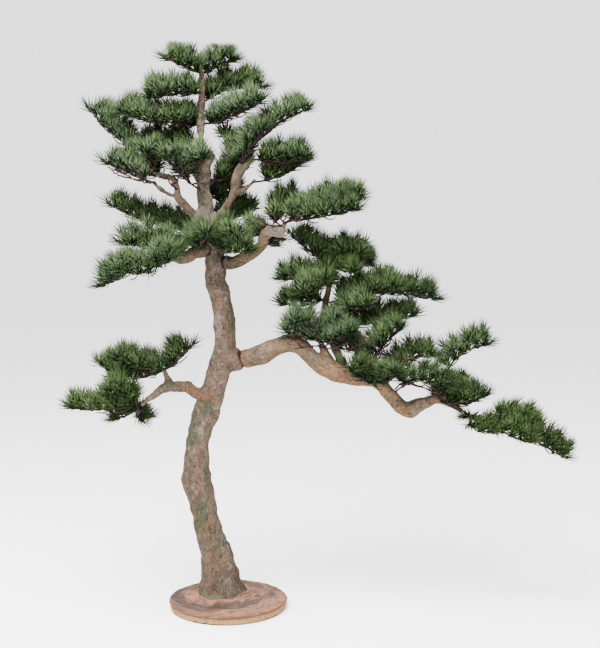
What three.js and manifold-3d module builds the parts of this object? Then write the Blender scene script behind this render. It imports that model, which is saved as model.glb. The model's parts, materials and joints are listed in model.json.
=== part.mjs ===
// A garden pine trained as a bonsai: a bent moulded trunk on a round board, three
// plug-in limbs in rubber sleeves, and sprays of needles on thin forked twigs.
// Millimetres, +Z up, origin at the centre of the board's underside, front towards -Y.
import * as THREE from "three";
import { mergeVertices } from "three/addons/utils/BufferGeometryUtils.js";
import Module from "manifold-3d";

const wasm = await Module();
wasm.setup();

// Driving dimensions
const BOARD_RADIUS = 205;
const BOARD_HEIGHT = 22;
const COAT_RADIUS = 210;
const COAT_THICKNESS = 9;
const SEAT_HEIGHT = BOARD_HEIGHT + 5; // where the trunk's foot stands in the coat
const GAP = 0.3;
const NEEDLE_LENGTH = 52;
const STEM_RADIUS = 2.8;
const TWIG_RADIUS = 2.1;
const BAND = 6.5; // length of twig that carries one whorl of six needles
const STEM_STEP = 58; // length of one straight piece of a stem
const TWIG_SPACING = 48; // along a stem
const FORK_DISTANCE = 8; // from the host's surface to where a bough's stems part
const PEG_DEPTH = 9; // how far a stem stands in its hole
const COAT_RINGS = [90, 112, 134, 156, 180, 205]; // radii of the coat's rings of points
const MOUND = { away: 95, width: 28, height: 7 }; // the coat's swell round the trunk's foot
const RIPPLE = { spacing: 82, height: 2, fade: 150 }; // the coat's rings beyond it

// Stations are [x, y, z, radius]
const TRUNK = [
  [-30, 40, 16, 88], [-32, 39, 50, 77], [-34, 37, 95, 66],
  [-42, 34, 157, 59], [-58, 30, 230, 50], [-78, 26, 305, 47], [-95, 22, 390, 48], [-108, 19, 450, 49],
  [-111, 16, 515, 46], [-107, 12, 583, 42], [-94, 8, 650, 44], [-78, 5, 700, 45], [-47, 0, 784, 42],
  [-24, 0, 848, 41], [-9, 0, 911, 39], [-5, 2, 971, 38], [-11, 4, 1041, 36], [-22, 6, 1104, 35],
  [-34, 8, 1163, 34], [-41, 8, 1215, 36], [-44, 8, 1267, 35], [-59, 8, 1330, 32], [-71, 8, 1389, 31],
  [-74, 6, 1447, 27], [-78, 4, 1499, 27], [-82, 2, 1550, 30], [-78, 0, 1590, 33], [-76, 0, 1612, 28],
];
const LEADER = [
  [-79, 0, 1598, 16], [-86, -2, 1640, 13], [-85, -2, 1690, 14], [-84, 0, 1745, 15], [-82, 2, 1800, 13],
  [-83, 2, 1845, 12], [-85, 2, 1880, 11],
];
const LEFT_LIMB = [
  [-50, 0, 780, 28], [-85, -4, 771, 23], [-111, -10, 768, 21], [-146, -17, 793, 20], [-188, -22, 789, 18],
  [-221, -26, 786, 15], [-249, -34, 763, 13], [-290, -46, 735, 8],
];
const LEFT_FORK = [[-196, -23, 790, 14], [-207, -21, 815, 11], [-219, -16, 852, 8]];
const CROWN_LEFT = [
  [-70, 4, 1350, 20], [-94, -4, 1368, 18], [-133, -22, 1416, 14], [-158, -31, 1450, 13],
  [-171, -34, 1491, 12], [-183, -36, 1514, 12], [-211, -38, 1519, 10], [-240, -40, 1531, 8],
];
const CROWN_LEFT_FORK = [
  [-150, -29, 1436, 12], [-183, -40, 1455, 9], [-210, -50, 1468, 8], [-240, -60, 1497, 7],
];
const CROWN_RIGHT = [
  [-68, 6, 1338, 20], [-49, -4, 1361, 18], [-1, -20, 1411, 14], [20, -26, 1447, 14], [34, -30, 1487, 14],
  [38, -32, 1520, 14], [50, -34, 1560, 9],
];
const CROWN_RIGHT_ARM = [[37, -32, 1512, 13], [60, -34, 1543, 11], [93, -38, 1582, 7]];
const CROWN_RIGHT_FORK = [[26, -28, 1448, 11], [73, -18, 1483, 8], [95, -12, 1503, 7]];
const LOW_RIGHT = [
  [50, -8, 887, 32], [88, -14, 895, 34], [123, -20, 908, 35], [158, -26, 923, 34], [190, -32, 938, 32],
  [224, -38, 946, 30], [255, -44, 937, 28], [283, -50, 912, 29], [321, -56, 876, 31], [373, -60, 852, 35],
  [435, -62, 833, 29], [494, -62, 821, 24], [539, -60, 800, 22], [577, -58, 758, 25], [606, -56, 726, 27],
  [634, -54, 715, 29], [662, -50, 728, 26], [690, -46, 740, 22], [721, -42, 752, 17], [757, -38, 739, 11],
  [792, -36, 724, 10], [820, -34, 708, 9],
];
const LOW_RIGHT_STUB = [[365, -59, 862, 26], [352, -52, 896, 17], [337, -46, 923, 13], [326, -42, 944, 12]];
const LOW_RIGHT_RISER = [
  [410, -56, 846, 21], [398, -30, 880, 17], [374, -6, 937, 16], [354, 12, 995, 15], [342, 26, 1050, 14],
  [350, 36, 1105, 12], [365, 44, 1161, 11], [375, 52, 1220, 9],
];
const UP_RIGHT = [
  [0, -11, 1226, 24], [24, -25, 1224, 22], [49, -36, 1234, 22], [77, -44, 1251, 21],
  [108, -50, 1267, 20], [128, -54, 1291, 19], [133, -56, 1318, 18], [155, -54, 1334, 20],
  [180, -50, 1332, 21], [201, -46, 1325, 16],
];
const UP_RIGHT_TWIG = [[182, -50, 1330, 15], [197, -46, 1352, 10], [209, -42, 1366, 7]];
const UP_LEFT = [
  [-70, -38, 1267, 23], [-87, -58, 1264, 21], [-107, -82, 1259, 21], [-126, -110, 1244, 20],
  [-147, -140, 1242, 20], [-170, -168, 1258, 17], [-200, -196, 1265, 13], [-236, -222, 1266, 10],
];
// Swellings on the trunk: [height above the floor, angle from +X in radians, how far it stands out]
const KNOBS = [[258, 3.1, 8], [692, -0.1, 11], [1156, -2.9, 12], [1590, 0, 12]];

// Sockets: the mouth's centre, the way the limb leaves, the collar's and the plug's radius, how
// deep the plug stands, and the rubber sleeve's radius and length between collar and limb
const SOCKETS = {
  low_right: {
    mouth: [49, -8, 887], toward: [0.97, -0.14, 0.2], collar: 38, plug: 18, depth: 45, sleeve: [31, 4],
  },
  up_right: {
    mouth: [-8, -8, 1226], toward: [0.89, -0.45, 0], collar: 27, plug: 13, depth: 34, sleeve: [23, 7],
  },
  up_left: {
    mouth: [-66, -31, 1267], toward: [-0.55, -0.83, 0], collar: 26, plug: 12, depth: 32, sleeve: [22, 7],
  },
};

// The wire round the trunk's top: its loop swings out on one side, where it holds the tied stems
const TIE = { centre: [-78, 4, 1497], wire: 1.4, loop: 32, swing: 22, facing: -2.05, pieces: 24 };

// Boughs: the host, the root, then for each spray the middle and tip of its stem, the half width
// of its pad, how far the pad leans towards the front in degrees, and the bare share of its stem.
// The first spray grows from the root. The others fork from it outside the host, or at the share of
// its length that ends their list.
const BOUGHS = {
  apex_left: ["trunk", [-80, 0, 1870], [[-138, -20, 1907], [-205, -30, 1920], 70, 10, 0.12]],
  apex_right: ["trunk", [-80, 5, 1870], [[-30, 15, 1912], [33, 25, 1921], 70, -5, 0.12]],
  second_left: ["trunk", [-85, -5, 1805], [[-170, -50, 1808], [-265, -60, 1784], 62, 8, 0.1]],
  second_right_back: ["trunk", [-80, 5, 1770], [[5, 60, 1838], [132, 85, 1836], 75, 5, 0.15]],
  second_right: ["trunk", [-75, -5, 1700], [[30, -60, 1735], [130, -70, 1778], 58, -12, 0.12]],
  third_left: ["trunk", [-90, -5, 1720], [[-230, -45, 1716], [-360, -50, 1742], 60, 5, 0.06]],
  third_left_low: ["trunk", [-90, 0, 1645], [[-185, 25, 1643], [-285, 30, 1643], 52, 0, 0.15]],
  third_back: ["trunk", [-80, 5, 1710], [[-125, 80, 1715], [-175, 140, 1735], 60, 0, 0.2]],
  far_left: ["trunk", [-235, -40, 1530],
    [[-350, 5, 1646], [-475, 10, 1760], 44, 0, 0.36],
    [[-240, -75, 1580], [-280, -95, 1615], 60, -5, 0.2]],
  mid_left_far: ["trunk", [-235, -60, 1495], [[-320, -70, 1540], [-408, -80, 1569], 52, -12, 0.2]],
  mid_left_low: ["trunk", [-210, -40, 1520], [[-280, 0, 1540], [-360, 20, 1550], 50, -10, 0.2]],
  mid_left_tied: ["trunk", [-80, -10, 1470],
    [[-145, -65, 1535], [-195, -120, 1595], 60, -15, 0.4],
    [[-125, -70, 1545], [-55, -115, 1585], 45, -5, 0.4]],
  third_right: ["trunk", [50, -35, 1555],
    [[85, -65, 1625], [140, -80, 1685], 58, -10, 0.15],
    [[18, -8, 1615], [8, 0, 1682], 58, -5, 0.15],
    [[145, -15, 1688], [285, 0, 1756], 45, 0, 0.35]],
  tied_right: ["trunk", [-65, 0, 1500], [[10, 45, 1535], [75, 95, 1585], 55, 0, 0.3]],
  mid_right: ["trunk", [90, -40, 1580], [[185, -50, 1582], [280, -50, 1580], 55, 0, 0.15]],
  mid_right_low: ["trunk", [90, -15, 1500], [[180, 0, 1535], [265, 10, 1570], 58, 5, 0.25]],
  back_right_top: ["trunk", [-65, 10, 1455], [[-20, 90, 1465], [35, 160, 1495], 65, 0, 0.2]],
  back_right_low: ["trunk", [-60, 15, 1385], [[5, 100, 1390], [80, 170, 1415], 65, 0, 0.25]],
  left_back_arm: ["trunk", [-65, 15, 1330], [[-255, 90, 1370], [-428, 115, 1437], 58, 10, 0.15]],
  front_centre: ["trunk", [-45, -15, 1285],
    [[-10, -65, 1305], [50, -115, 1335], 52, 20, 0.2],
    [[20, -75, 1276], [95, -110, 1270], 55, 30, 0.25]],
  right_big: ["limb_up_right", [205, -45, 1360],
    [[340, -50, 1436], [465, -45, 1448], 80, 25, 0.08],
    [[345, -85, 1396], [450, -95, 1412], 58, 15, 0.2, 0.12]],
  right_big_back: ["limb_up_right", [155, -50, 1340],
    [[190, 20, 1415], [240, 90, 1450], 55, 0, 0.25],
    [[120, -25, 1330], [70, -15, 1318], 52, 0, 0.15]],
  right_under: ["limb_up_right", [185, -45, 1320], [[175, -25, 1295], [160, -5, 1285], 25, 0, 0.25]],
  left_front_top: ["limb_up_left", [-125, -110, 1250],
    [[-210, -175, 1290], [-338, -200, 1298], 85, 25, 0.12]],
  left_front_right: ["limb_up_left", [-100, -80, 1265], [[-80, -135, 1300], [-45, -175, 1330], 52, 25, 0.2]],
  left_front_low: ["limb_up_left", [-180, -180, 1255],
    [[-270, -235, 1212], [-355, -245, 1232], 70, 30, 0.1],
    [[-175, -220, 1243], [-225, -250, 1236], 48, 30, 0.2]],
  left_low: ["limb_up_left", [-235, -220, 1265], [[-328, -205, 1202], [-408, -190, 1152], 46, 15, 0.25]],
  riser_top: ["limb_low_right", [375, 50, 1215],
    [[314, 12, 1262], [228, -5, 1322], 66, -8, 0.08],
    [[402, -5, 1268], [476, -25, 1242], 66, 0, 0.12],
    [[425, 85, 1240], [500, 110, 1210], 48, 0, 0.2],
    [[405, 5, 1205], [448, -35, 1198], 48, 5, 0.15]],
  riser_left: ["limb_low_right", [360, 40, 1160],
    [[275, 5, 1178], [192, -15, 1168], 62, 0, 0.08],
    [[305, -25, 1135], [240, -60, 1122], 58, 10, 0.2],
    [[352, -5, 1160], [338, -50, 1170], 50, 10, 0.15]],
  riser_left_low: ["limb_low_right", [345, 35, 1100], [[275, 25, 1085], [188, 20, 1083], 56, 0, 0.12]],
  riser_far: ["limb_low_right", [345, 35, 1080],
    [[545, 85, 1125], [745, 85, 1092], 62, 10, 0.12],
    [[480, 0, 1130], [600, -20, 1140], 62, 0, 0.2]],
  riser_centre: ["limb_low_right", [355, 5, 970],
    [[415, -20, 935], [480, -35, 930], 55, 5, 0.15],
    [[368, -45, 1005], [382, -90, 1038], 52, 10, 0.2]],
  riser_low: ["limb_low_right", [355, 15, 995],
    [[505, 45, 1020], [664, 50, 1040], 66, 5, 0.1],
    [[415, -30, 1052], [498, -60, 1084], 60, 8, 0.25]],
  stub_top: ["limb_low_right", [330, -45, 935],
    [[292, -70, 998], [230, -90, 1027], 54, -15, 0.15],
    [[270, -60, 980], [205, -65, 990], 38, 0, 0.12],
    [[380, -75, 970], [435, -100, 1000], 48, -8, 0.2]],
  limb_mid: ["limb_low_right", [485, -60, 830], [[520, -70, 932], [600, -80, 1003], 62, -10, 0.12]],
  limb_mid_right: ["limb_low_right", [550, -60, 800], [[615, -45, 892], [715, -45, 904], 58, 0, 0.08]],
  limb_front: ["limb_low_right", [510, -70, 820],
    [[460, -115, 850], [405, -130, 890], 42, 30, 0.12],
    [[540, -115, 830], [585, -130, 860], 50, 32, 0.12]],
  right_small: ["limb_low_right", [720, -40, 755], [[792, -30, 902], [912, -30, 944], 40, 0, 0.42]],
  right_lower: ["limb_low_right", [575, -65, 770], [[655, -90, 836], [755, -100, 798], 62, 20, 0.28]],
  right_lower_back: ["limb_low_right", [705, -40, 750], [[770, 10, 770], [840, 30, 790], 48, 0, 0.2]],
  right_lower_far: ["limb_low_right", [745, -45, 745], [[825, -60, 750], [903, -60, 774], 58, 5, 0.1]],
  far_right: ["limb_low_right", [815, -35, 710],
    [[1015, -20, 648], [1192, -15, 537], 42, 5, 0.5],
    [[940, -40, 702], [1070, -50, 664], 80, 45, 0.3, 0.3],
    [[980, -80, 640], [1045, -90, 616], 52, 20, 0.15, 0.3],
    [[868, -50, 656], [930, -55, 640], 50, 5, 0, 0.1]],
  left_top: ["trunk", [-220, -15, 847],
    [[-165, -25, 904], [-115, -25, 942], 42, 0, 0.12],
    [[-295, -40, 868], [-388, -40, 900], 40, 0, 0.12],
    [[-305, 5, 835], [-405, 10, 812], 48, 0, 0.2],
    [[-340, -15, 838], [-450, -10, 880], 30, 0, 0.55]],
  left_low_tip: ["trunk", [-286, -45, 737],
    [[-415, -60, 729], [-547, -60, 730], 45, 10, 0.1],
    [[-340, -75, 770], [-412, -90, 790], 46, 10, 0.2],
    [[-310, -25, 704], [-302, -15, 668], 34, 0, 0.3],
    [[-342, -20, 708], [-400, -6, 673], 42, 0, 0.3]],
};

// Colour and roughness of each material
const LOOKS = {
  bark: [0x8a6c58, 0.85],
  coat: [0x9c6a55, 0.8],
  board: [0xcdb183, 0.75],
  rubber: [0x1c1b1a, 0.6],
  wire: [0x3a302b, 0.5],
  needle: [0x4c5f43, 0.55],
};

const vector = (p) => new THREE.Vector3(p[0], p[1], p[2]);

// A seeded random number from 0 to 1, the same in each run.
let seed = 7;
function random() {
  seed = (seed * 1664525 + 1013904223) >>> 0;
  return seed / 4294967296;
}

function solidFrom(points, triangles) {
  return new wasm.Manifold(new wasm.Mesh({
    numProp: 3,
    vertProperties: new Float32Array(points.flatMap((p) => [p.x, p.y, p.z])),
    triVerts: new Uint32Array(triangles.flat()),
  }));
}

function solidOf(geometry) {
  const bare = geometry.clone();
  bare.deleteAttribute("normal");
  bare.deleteAttribute("uv");
  const merged = mergeVertices(bare, 1e-3);
  return new wasm.Manifold(new wasm.Mesh({
    numProp: 3,
    vertProperties: merged.attributes.position.array,
    triVerts: new Uint32Array(merged.index.array),
  }));
}

const joined = (solids) => solids.reduce((whole, one) => whole.add(one));

function meshOf(name, solid, look) {
  const made = solid.getMesh();
  const geometry = new THREE.BufferGeometry();
  geometry.setAttribute("position", new THREE.BufferAttribute(made.vertProperties, 3));
  geometry.setIndex(new THREE.BufferAttribute(made.triVerts, 1));
  geometry.computeVertexNormals();
  const [color, roughness] = LOOKS[look];
  const mesh = new THREE.Mesh(geometry, new THREE.MeshStandardMaterial({ color, roughness, metalness: 0 }));
  mesh.name = name;
  return mesh;
}

// The direction along a row of points at each point, between the directions of its two neighbours.
function tangents(points) {
  return points.map((_, i) => {
    const before = points[Math.max(i - 1, 0)];
    const after = points[Math.min(i + 1, points.length - 1)];
    return after.clone().sub(before).normalize();
  });
}

// A closed tube through stations, with a ring of sides round each one. relief(angle, along, height)
// gives the share by which the radius grows, and spare is added to every radius.
function tube(stations, sides, relief = () => 0, spare = 0) {
  const centres = stations.map(vector);
  const along = tangents(centres);
  const points = [];
  const triangles = [];
  let across = new THREE.Vector3(0, 1, 0).cross(along[0]);
  if (across.length() < 0.3) across = new THREE.Vector3(1, 0, 0);
  let distance = 0;
  centres.forEach((centre, i) => {
    if (i) distance += centre.distanceTo(centres[i - 1]);
    across.addScaledVector(along[i], -across.dot(along[i])).normalize();
    const up = along[i].clone().cross(across);
    for (let k = 0; k < sides; k++) {
      const angle = (2 * Math.PI * k) / sides;
      const radius = stations[i][3] * (1 + relief(angle, distance, centre.z)) + spare;
      points.push(centre.clone()
        .addScaledVector(across, radius * Math.cos(angle))
        .addScaledVector(up, radius * Math.sin(angle)));
    }
  });
  for (let i = 0; i + 1 < centres.length; i++)
    for (let k = 0; k < sides; k++) {
      const [a, b] = [i * sides + k, i * sides + ((k + 1) % sides)];
      triangles.push([a, b, b + sides], [a, b + sides, a + sides]);
    }
  const last = (centres.length - 1) * sides;
  points.push(centres[0], centres[centres.length - 1]);
  for (let k = 0; k < sides; k++) {
    const next = (k + 1) % sides;
    triangles.push([next, k, points.length - 2], [last + k, last + next, points.length - 1]);
  }
  return solidFrom(points, triangles);
}

// A round bar from one point for a length in a direction.
function bar(from, toward, start, end, radius, sides = 12) {
  const at = (s) => [...vector(from).addScaledVector(vector(toward).normalize(), s).toArray(), radius];
  return tube([at(start), at(end)], sides);
}

// Flutes that run up the trunk, toes that fade up from its foot, and its swellings.
const bark = (angle, s, z) =>
  0.05 * Math.sin(3 * angle + s / 90) + 0.035 * Math.sin(5 * angle - s / 55 + 1) +
  0.07 * Math.exp(-s / 60) * Math.sin(6 * angle + 0.6) + swelling(angle, z);
function swelling(angle, z) {
  return KNOBS.reduce((sum, [height, facing, proud]) => {
    const turn = Math.atan2(Math.sin(angle - facing), Math.cos(angle - facing));
    return sum + (proud / 40) * Math.exp(-(((z - height) / 26) ** 2) - (turn / 0.45) ** 2);
  }, 0);
}
const twisted = (angle, s) => 0.06 * Math.sin(3 * angle + s / 28) + 0.04 * Math.sin(2 * angle - s / 19);

const WOOD = {
  trunk: [
    TRUNK, LEADER, LEFT_LIMB, LEFT_FORK,
    CROWN_LEFT, CROWN_LEFT_FORK, CROWN_RIGHT, CROWN_RIGHT_ARM, CROWN_RIGHT_FORK,
  ],
  limb_low_right: [LOW_RIGHT, LOW_RIGHT_STUB, LOW_RIGHT_RISER],
  limb_up_right: [UP_RIGHT, UP_RIGHT_TWIG],
  limb_up_left: [UP_LEFT],
};

function collar(socket) {
  const toward = vector(socket.toward).normalize();
  const station = (s, share) => [...vector(socket.mouth).addScaledVector(toward, s).toArray(),
    socket.collar * share];
  return tube([station(-socket.collar, 1.1), station(-12, 1.08), station(0, 1)], 12);
}

// The space in front of a socket's mouth, out to a limb's shoulder.
const mouthSpace = ({ mouth, toward, collar: radius, sleeve }) =>
  bar(mouth, toward, 0, sleeve[1] + 2 * GAP, radius + 9);

// All that lies under the flat foot of the trunk.
const underFoot = (height) => bar([TRUNK[0][0], TRUNK[0][1], 0], [0, 0, 1], -1, height, 130);

function makeTrunk() {
  const branches = WOOD.trunk.slice(1).map((stations) => tube(stations, 7, twisted));
  const collars = Object.values(SOCKETS).map(collar);
  const solid = joined([tube(TRUNK, 12, bark), ...branches, ...collars]);
  const bores = Object.values(SOCKETS).flatMap((socket) =>
    [mouthSpace(socket), bar(socket.mouth, socket.toward, -socket.depth - 1, 1, socket.plug + 2 * GAP)]);
  return [underFoot(SEAT_HEIGHT + GAP), ...bores].reduce((rest, cut) => rest.subtract(cut), solid);
}

function makeLimb(name, socket, sides) {
  const whole = joined(WOOD[name].map((stations, i) => tube(stations, i ? 7 : sides, twisted)));
  return whole.subtract(mouthSpace(socket))
    .add(bar(socket.mouth, socket.toward, -socket.depth, socket.sleeve[1] + 8, socket.plug));
}

// A rubber ring between the collar's mouth and the limb's shoulder.
function makeSleeve({ mouth, toward, plug, sleeve: [radius, length] }) {
  return bar(mouth, toward, GAP, GAP + length, radius)
    .subtract(bar(mouth, toward, -1, length + 2, plug + 2 * GAP));
}

function tieCurve() {
  const [x, y, z] = TIE.centre;
  return Array.from({ length: TIE.pieces }, (_, i) => {
    const angle = (2 * Math.PI * i) / TIE.pieces;
    const turn = Math.atan2(Math.sin(angle - TIE.facing), Math.cos(angle - TIE.facing));
    const radius = TIE.loop + TIE.swing * Math.exp(-((turn / 0.55) ** 2));
    const [across, deep] = [Math.cos(angle), Math.sin(angle)];
    return new THREE.Vector3(x + radius * across, y + radius * deep, z + 3 * deep);
  });
}

function makeTieWire() {
  const path = new THREE.CatmullRomCurve3(tieCurve(), true);
  return solidOf(new THREE.TubeGeometry(path, TIE.pieces, TIE.wire, 4, true));
}

function makeBoard() {
  const [edge, height] = [BOARD_RADIUS, BOARD_HEIGHT];
  const profile = [[0, 0], [edge - 2, 0], [edge, 3], [edge - 1, height], [0, height]];
  const points = profile.map(([r, z]) => new THREE.Vector2(r, z));
  return solidOf(new THREE.LatheGeometry(points, 32).rotateX(Math.PI / 2));
}

// The coat's top: a swell round the trunk's foot, with rings that die away from it.
function coatHeight(x, y) {
  const [footX, footY] = TRUNK[0];
  const away = Math.hypot(x - footX, (y - footY) * 1.15);
  const mound = MOUND.height * Math.exp(-(((away - MOUND.away) / MOUND.width) ** 2));
  const ring = Math.sin((2 * Math.PI * away) / RIPPLE.spacing) * Math.exp(-away / RIPPLE.fade);
  return COAT_THICKNESS + mound + RIPPLE.height * ring;
}

function makeCoat() {
  const sectors = 26;
  const [floor, rim] = [BOARD_HEIGHT + GAP, BOARD_HEIGHT + 4];
  const points = [];
  const triangles = [];
  const ring = (radius, height) => {
    for (let k = 0; k < sectors; k++) {
      const angle = (2 * Math.PI * k) / sectors;
      const [x, y] = [radius * Math.cos(angle), radius * Math.sin(angle)];
      points.push(new THREE.Vector3(x, y, height(x, y)));
    }
  };
  ring(BOARD_RADIUS - 6, () => floor);
  ring(COAT_RADIUS - 2, () => floor);
  ring(COAT_RADIUS, () => rim);
  for (const radius of [...COAT_RINGS].reverse())
    ring(radius, (x, y) => BOARD_HEIGHT + coatHeight(x, y));
  const count = points.length / sectors;
  points.push(new THREE.Vector3(0, 0, floor));
  points.push(new THREE.Vector3(0, 0, BOARD_HEIGHT + coatHeight(0, 0)));
  for (let k = 0; k < sectors; k++) {
    const next = (k + 1) % sectors;
    triangles.push([next, k, points.length - 2]);
    for (let i = 0; i + 1 < count; i++) {
      const [a, b] = [i * sectors + k, i * sectors + next];
      triangles.push([a, b, b + sectors], [a, b + sectors, a + sectors]);
    }
    const top = (count - 1) * sectors;
    triangles.push([top + k, top + next, points.length - 1]);
  }
  const foot = tube(TRUNK.slice(0, 4), 12, bark, 2 * GAP).subtract(underFoot(SEAT_HEIGHT));
  return solidFrom(points, triangles).subtract(foot);
}

// How near two straight pieces come, with the place on each as a share of its length.
function nearest(a, b, c, d) {
  const [u, v, w] = [b.clone().sub(a), d.clone().sub(c), a.clone().sub(c)];
  const [uu, vv, uv, uw, vw] = [u.dot(u), v.dot(v), u.dot(v), u.dot(w), v.dot(w)];
  const unit = (x) => Math.min(1, Math.max(0, x));
  const across = uu * vv - uv * uv;
  let s = across > 1e-9 ? unit((uv * vw - vv * uw) / across) : 0;
  const t = unit((uv * s + vw) / vv);
  s = unit((uv * t - uw) / uu);
  return [w.addScaledVector(u, s).addScaledVector(v, -t).length(), s, t];
}

// Everything that a needle or a twig has to stay clear of.
const taken = [];

function take(from, to, startRadius, endRadius, node, twig) {
  taken.push({ from, to, startRadius, endRadius, node, twig, middle: from.clone().lerp(to, 0.5),
    reach: from.distanceTo(to) / 2 + startRadius + endRadius });
}

function isClear(from, to, startRadius, endRadius, spare, ignores) {
  const middle = from.clone().lerp(to, 0.5);
  const reach = from.distanceTo(to) / 2 + startRadius + spare;
  return taken.every((one) => {
    if (ignores(one) || middle.distanceTo(one.middle) > reach + one.reach) return true;
    const [gap, s, t] = nearest(from, to, one.from, one.to);
    const mine = startRadius + s * (endRadius - startRadius);
    return gap > mine + one.startRadius + t * (one.endRadius - one.startRadius) + spare;
  });
}

// A spray's stem: one curve through its root, its middle and its tip.
function stemCurve(root, middle, tip) {
  const [a, m, b] = [root.clone(), vector(middle), vector(tip)];
  const pull = m.multiplyScalar(2).addScaledVector(a, -0.5).addScaledVector(b, -0.5);
  return new THREE.QuadraticBezierCurve3(a, pull, b);
}

// How far a point lies outside a host's wood.
function outside(host, point) {
  const depths = WOOD[host].flatMap((stations) => stations.slice(1).map((station, i) => {
    const [a, b] = [vector(stations[i]), vector(station)];
    const line = new THREE.Line3(a, b);
    const share = line.closestPointToPointParameter(point, true);
    const radius = stations[i][3] + share * (station[3] - stations[i][3]);
    return line.at(share, new THREE.Vector3()).distanceTo(point) - radius;
  }));
  return Math.min(...depths);
}

// Where a stem's peg starts in its host and where it comes out, as shares of the curve.
function pegShares(host, curve) {
  const step = 1 / curve.getLength();
  let out = 0;
  while (outside(host, curve.getPointAt(out)) < 0) out += step;
  return [Math.max(0, out - PEG_DEPTH * step), out];
}

// The pad's own directions at a place on a stem: along it, to its side and up from it.
function padFrame(curve, share, lean) {
  const along = curve.getTangentAt(share);
  const upright = new THREE.Vector3(0, -Math.sin(lean), Math.cos(lean));
  const side = along.clone().cross(upright).normalize();
  return { along, side, up: side.clone().cross(along).normalize() };
}

// The place on a stem's row of points at a share of its length.
function onStem({ shares, points }, share) {
  const next = Math.max(1, shares.findIndex((other) => other >= share));
  const part = (share - shares[next - 1]) / (shares[next] - shares[next - 1]);
  return points[next - 1].clone().lerp(points[next], part);
}

// The side twigs of a spray: left, right and up in turn, each from a place on the stem.
function sideTwigs(spray) {
  const { curve, width, lean, bare } = spray;
  const length = curve.getLength();
  const count = Math.max(2, Math.round(((1 - bare) * length) / TWIG_SPACING));
  return Array.from({ length: count }, (_, i) => {
    const share = bare + ((0.9 - bare) * (i + 0.4)) / count;
    const { along, side, up } = padFrame(curve, share, lean);
    const fullness = Math.sin(Math.PI * (0.2 + 0.65 * ((share - bare) / (1 - bare))));
    const [left, rise] = [[1, 0.3], [-1, 0.3], [i % 2 ? 0.25 : -0.25, 1.3]][i % 3];
    const toward = along.clone().multiplyScalar(0.55).addScaledVector(side, left).addScaledVector(up, rise);
    const reach = i % 3 === 2 ? 28 : Math.max(18, (width - 30) * fullness);
    return { from: onStem(spray, share), toward: toward.normalize(), reach, up, side };
  });
}

// Points from a twig's root to its tip; the last two bands carry needles.
function twigPath({ from, toward, reach, up }) {
  return [0, reach - 2 * BAND, reach - BAND, reach].map((s) =>
    from.clone().addScaledVector(toward, s).addScaledVector(up, (0.12 * s * s) / reach));
}

// A three-sided tube along points. The faces of its bands from firstBand on, and its end,
// are drawn out into needles where there is room for them.
function needledTube(points, radius, firstBand, side, up, node, twig) {
  const along = tangents(points);
  const corners = [];
  points.forEach((point, i) => {
    const across = side.clone().cross(along[i]).normalize();
    const beside = along[i].clone().cross(across);
    for (let k = 0; k < 3; k++) {
      const angle = (2 * Math.PI * k) / 3 + 0.6 * Math.max(0, i - firstBand);
      corners.push(point.clone()
        .addScaledVector(across, radius * Math.cos(angle))
        .addScaledVector(beside, radius * Math.sin(angle)));
    }
  });
  const triangles = [[0, 2, 1]];
  const last = 3 * (points.length - 1);
  const face = (a, b, c, carries, centre, ahead) => {
    const tip = carries && needleTip([corners[a], corners[b], corners[c]], centre, ahead, up, node, twig);
    if (!tip) return triangles.push([a, b, c]);
    corners.push(tip);
    const t = corners.length - 1;
    return triangles.push([a, b, t], [b, c, t], [c, a, t]);
  };
  for (let i = 0; i + 1 < points.length; i++)
    for (let k = 0; k < 3; k++) {
      const [a, b] = [3 * i + k, 3 * i + ((k + 1) % 3)];
      face(a, b, b + 3, i >= firstBand, points[i], along[i]);
      face(a, b + 3, a + 3, i >= firstBand, points[i], along[i]);
    }
  const [end, ahead] = [points[points.length - 1], along[points.length - 1]];
  face(last, last + 1, last + 2, firstBand < points.length, end.clone().sub(ahead), ahead);
  return solidFrom(corners, triangles);
}

// The tip of a needle that grows from a face: out from the twig, forwards and upwards, turned a
// little at random, and shorter or turned again where it would meet something else.
function needleTip(face, centre, ahead, up, node, twig) {
  const root = face[0].clone().add(face[1]).add(face[2]).divideScalar(3);
  const normal = face[1].clone().sub(face[0]).cross(face[2].clone().sub(face[0])).normalize();
  const out = root.clone().sub(centre);
  out.addScaledVector(ahead, -out.dot(ahead));
  if (out.lengthSq() > 1e-6) out.normalize();
  for (const [length, turn] of [[1, 0.12], [0.95, 0.35], [0.8, 0.5], [0.6, 0.5]]) {
    const toward = out.clone().multiplyScalar(0.8).addScaledVector(ahead, 0.7).addScaledVector(up, 0.4);
    toward.add(new THREE.Vector3(random() - 0.5, random() - 0.5, random() - 0.5).multiplyScalar(2 * turn));
    toward.normalize();
    if (toward.dot(normal) < 0.3) continue;
    const tip = root.clone().addScaledVector(toward, NEEDLE_LENGTH * length);
    const beyond = root.clone().addScaledVector(toward, 0.2 * NEEDLE_LENGTH);
    const clearOfRest = isClear(root, tip, 2.4, 0.2, 0.5, (one) => one.twig === twig);
    const clearOfOwn = isClear(beyond, tip, 1.2, 0.1, 0.2, (one) => one.twig !== twig);
    if (clearOfRest && clearOfOwn) {
      take(beyond, tip, 2.4, 0.2, node, twig);
      return tip;
    }
  }
  return null;
}

// The wood takes its stations' radii with some spare for its relief.
function takeWood() {
  const radiusAt = (station) => station[3] * 1.12 + 1;
  for (const [host, pieces] of Object.entries(WOOD))
    for (const stations of pieces)
      stations.slice(1).forEach((to, i) => {
        const from = stations[i];
        take(vector(from), vector(to), radiusAt(from), radiusAt(to), host, host);
      });
  const loop = tieCurve();
  loop.forEach((to, i) => take(loop.at(i - 1), to, TIE.wire, TIE.wire, "tie", "tie"));
}

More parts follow.
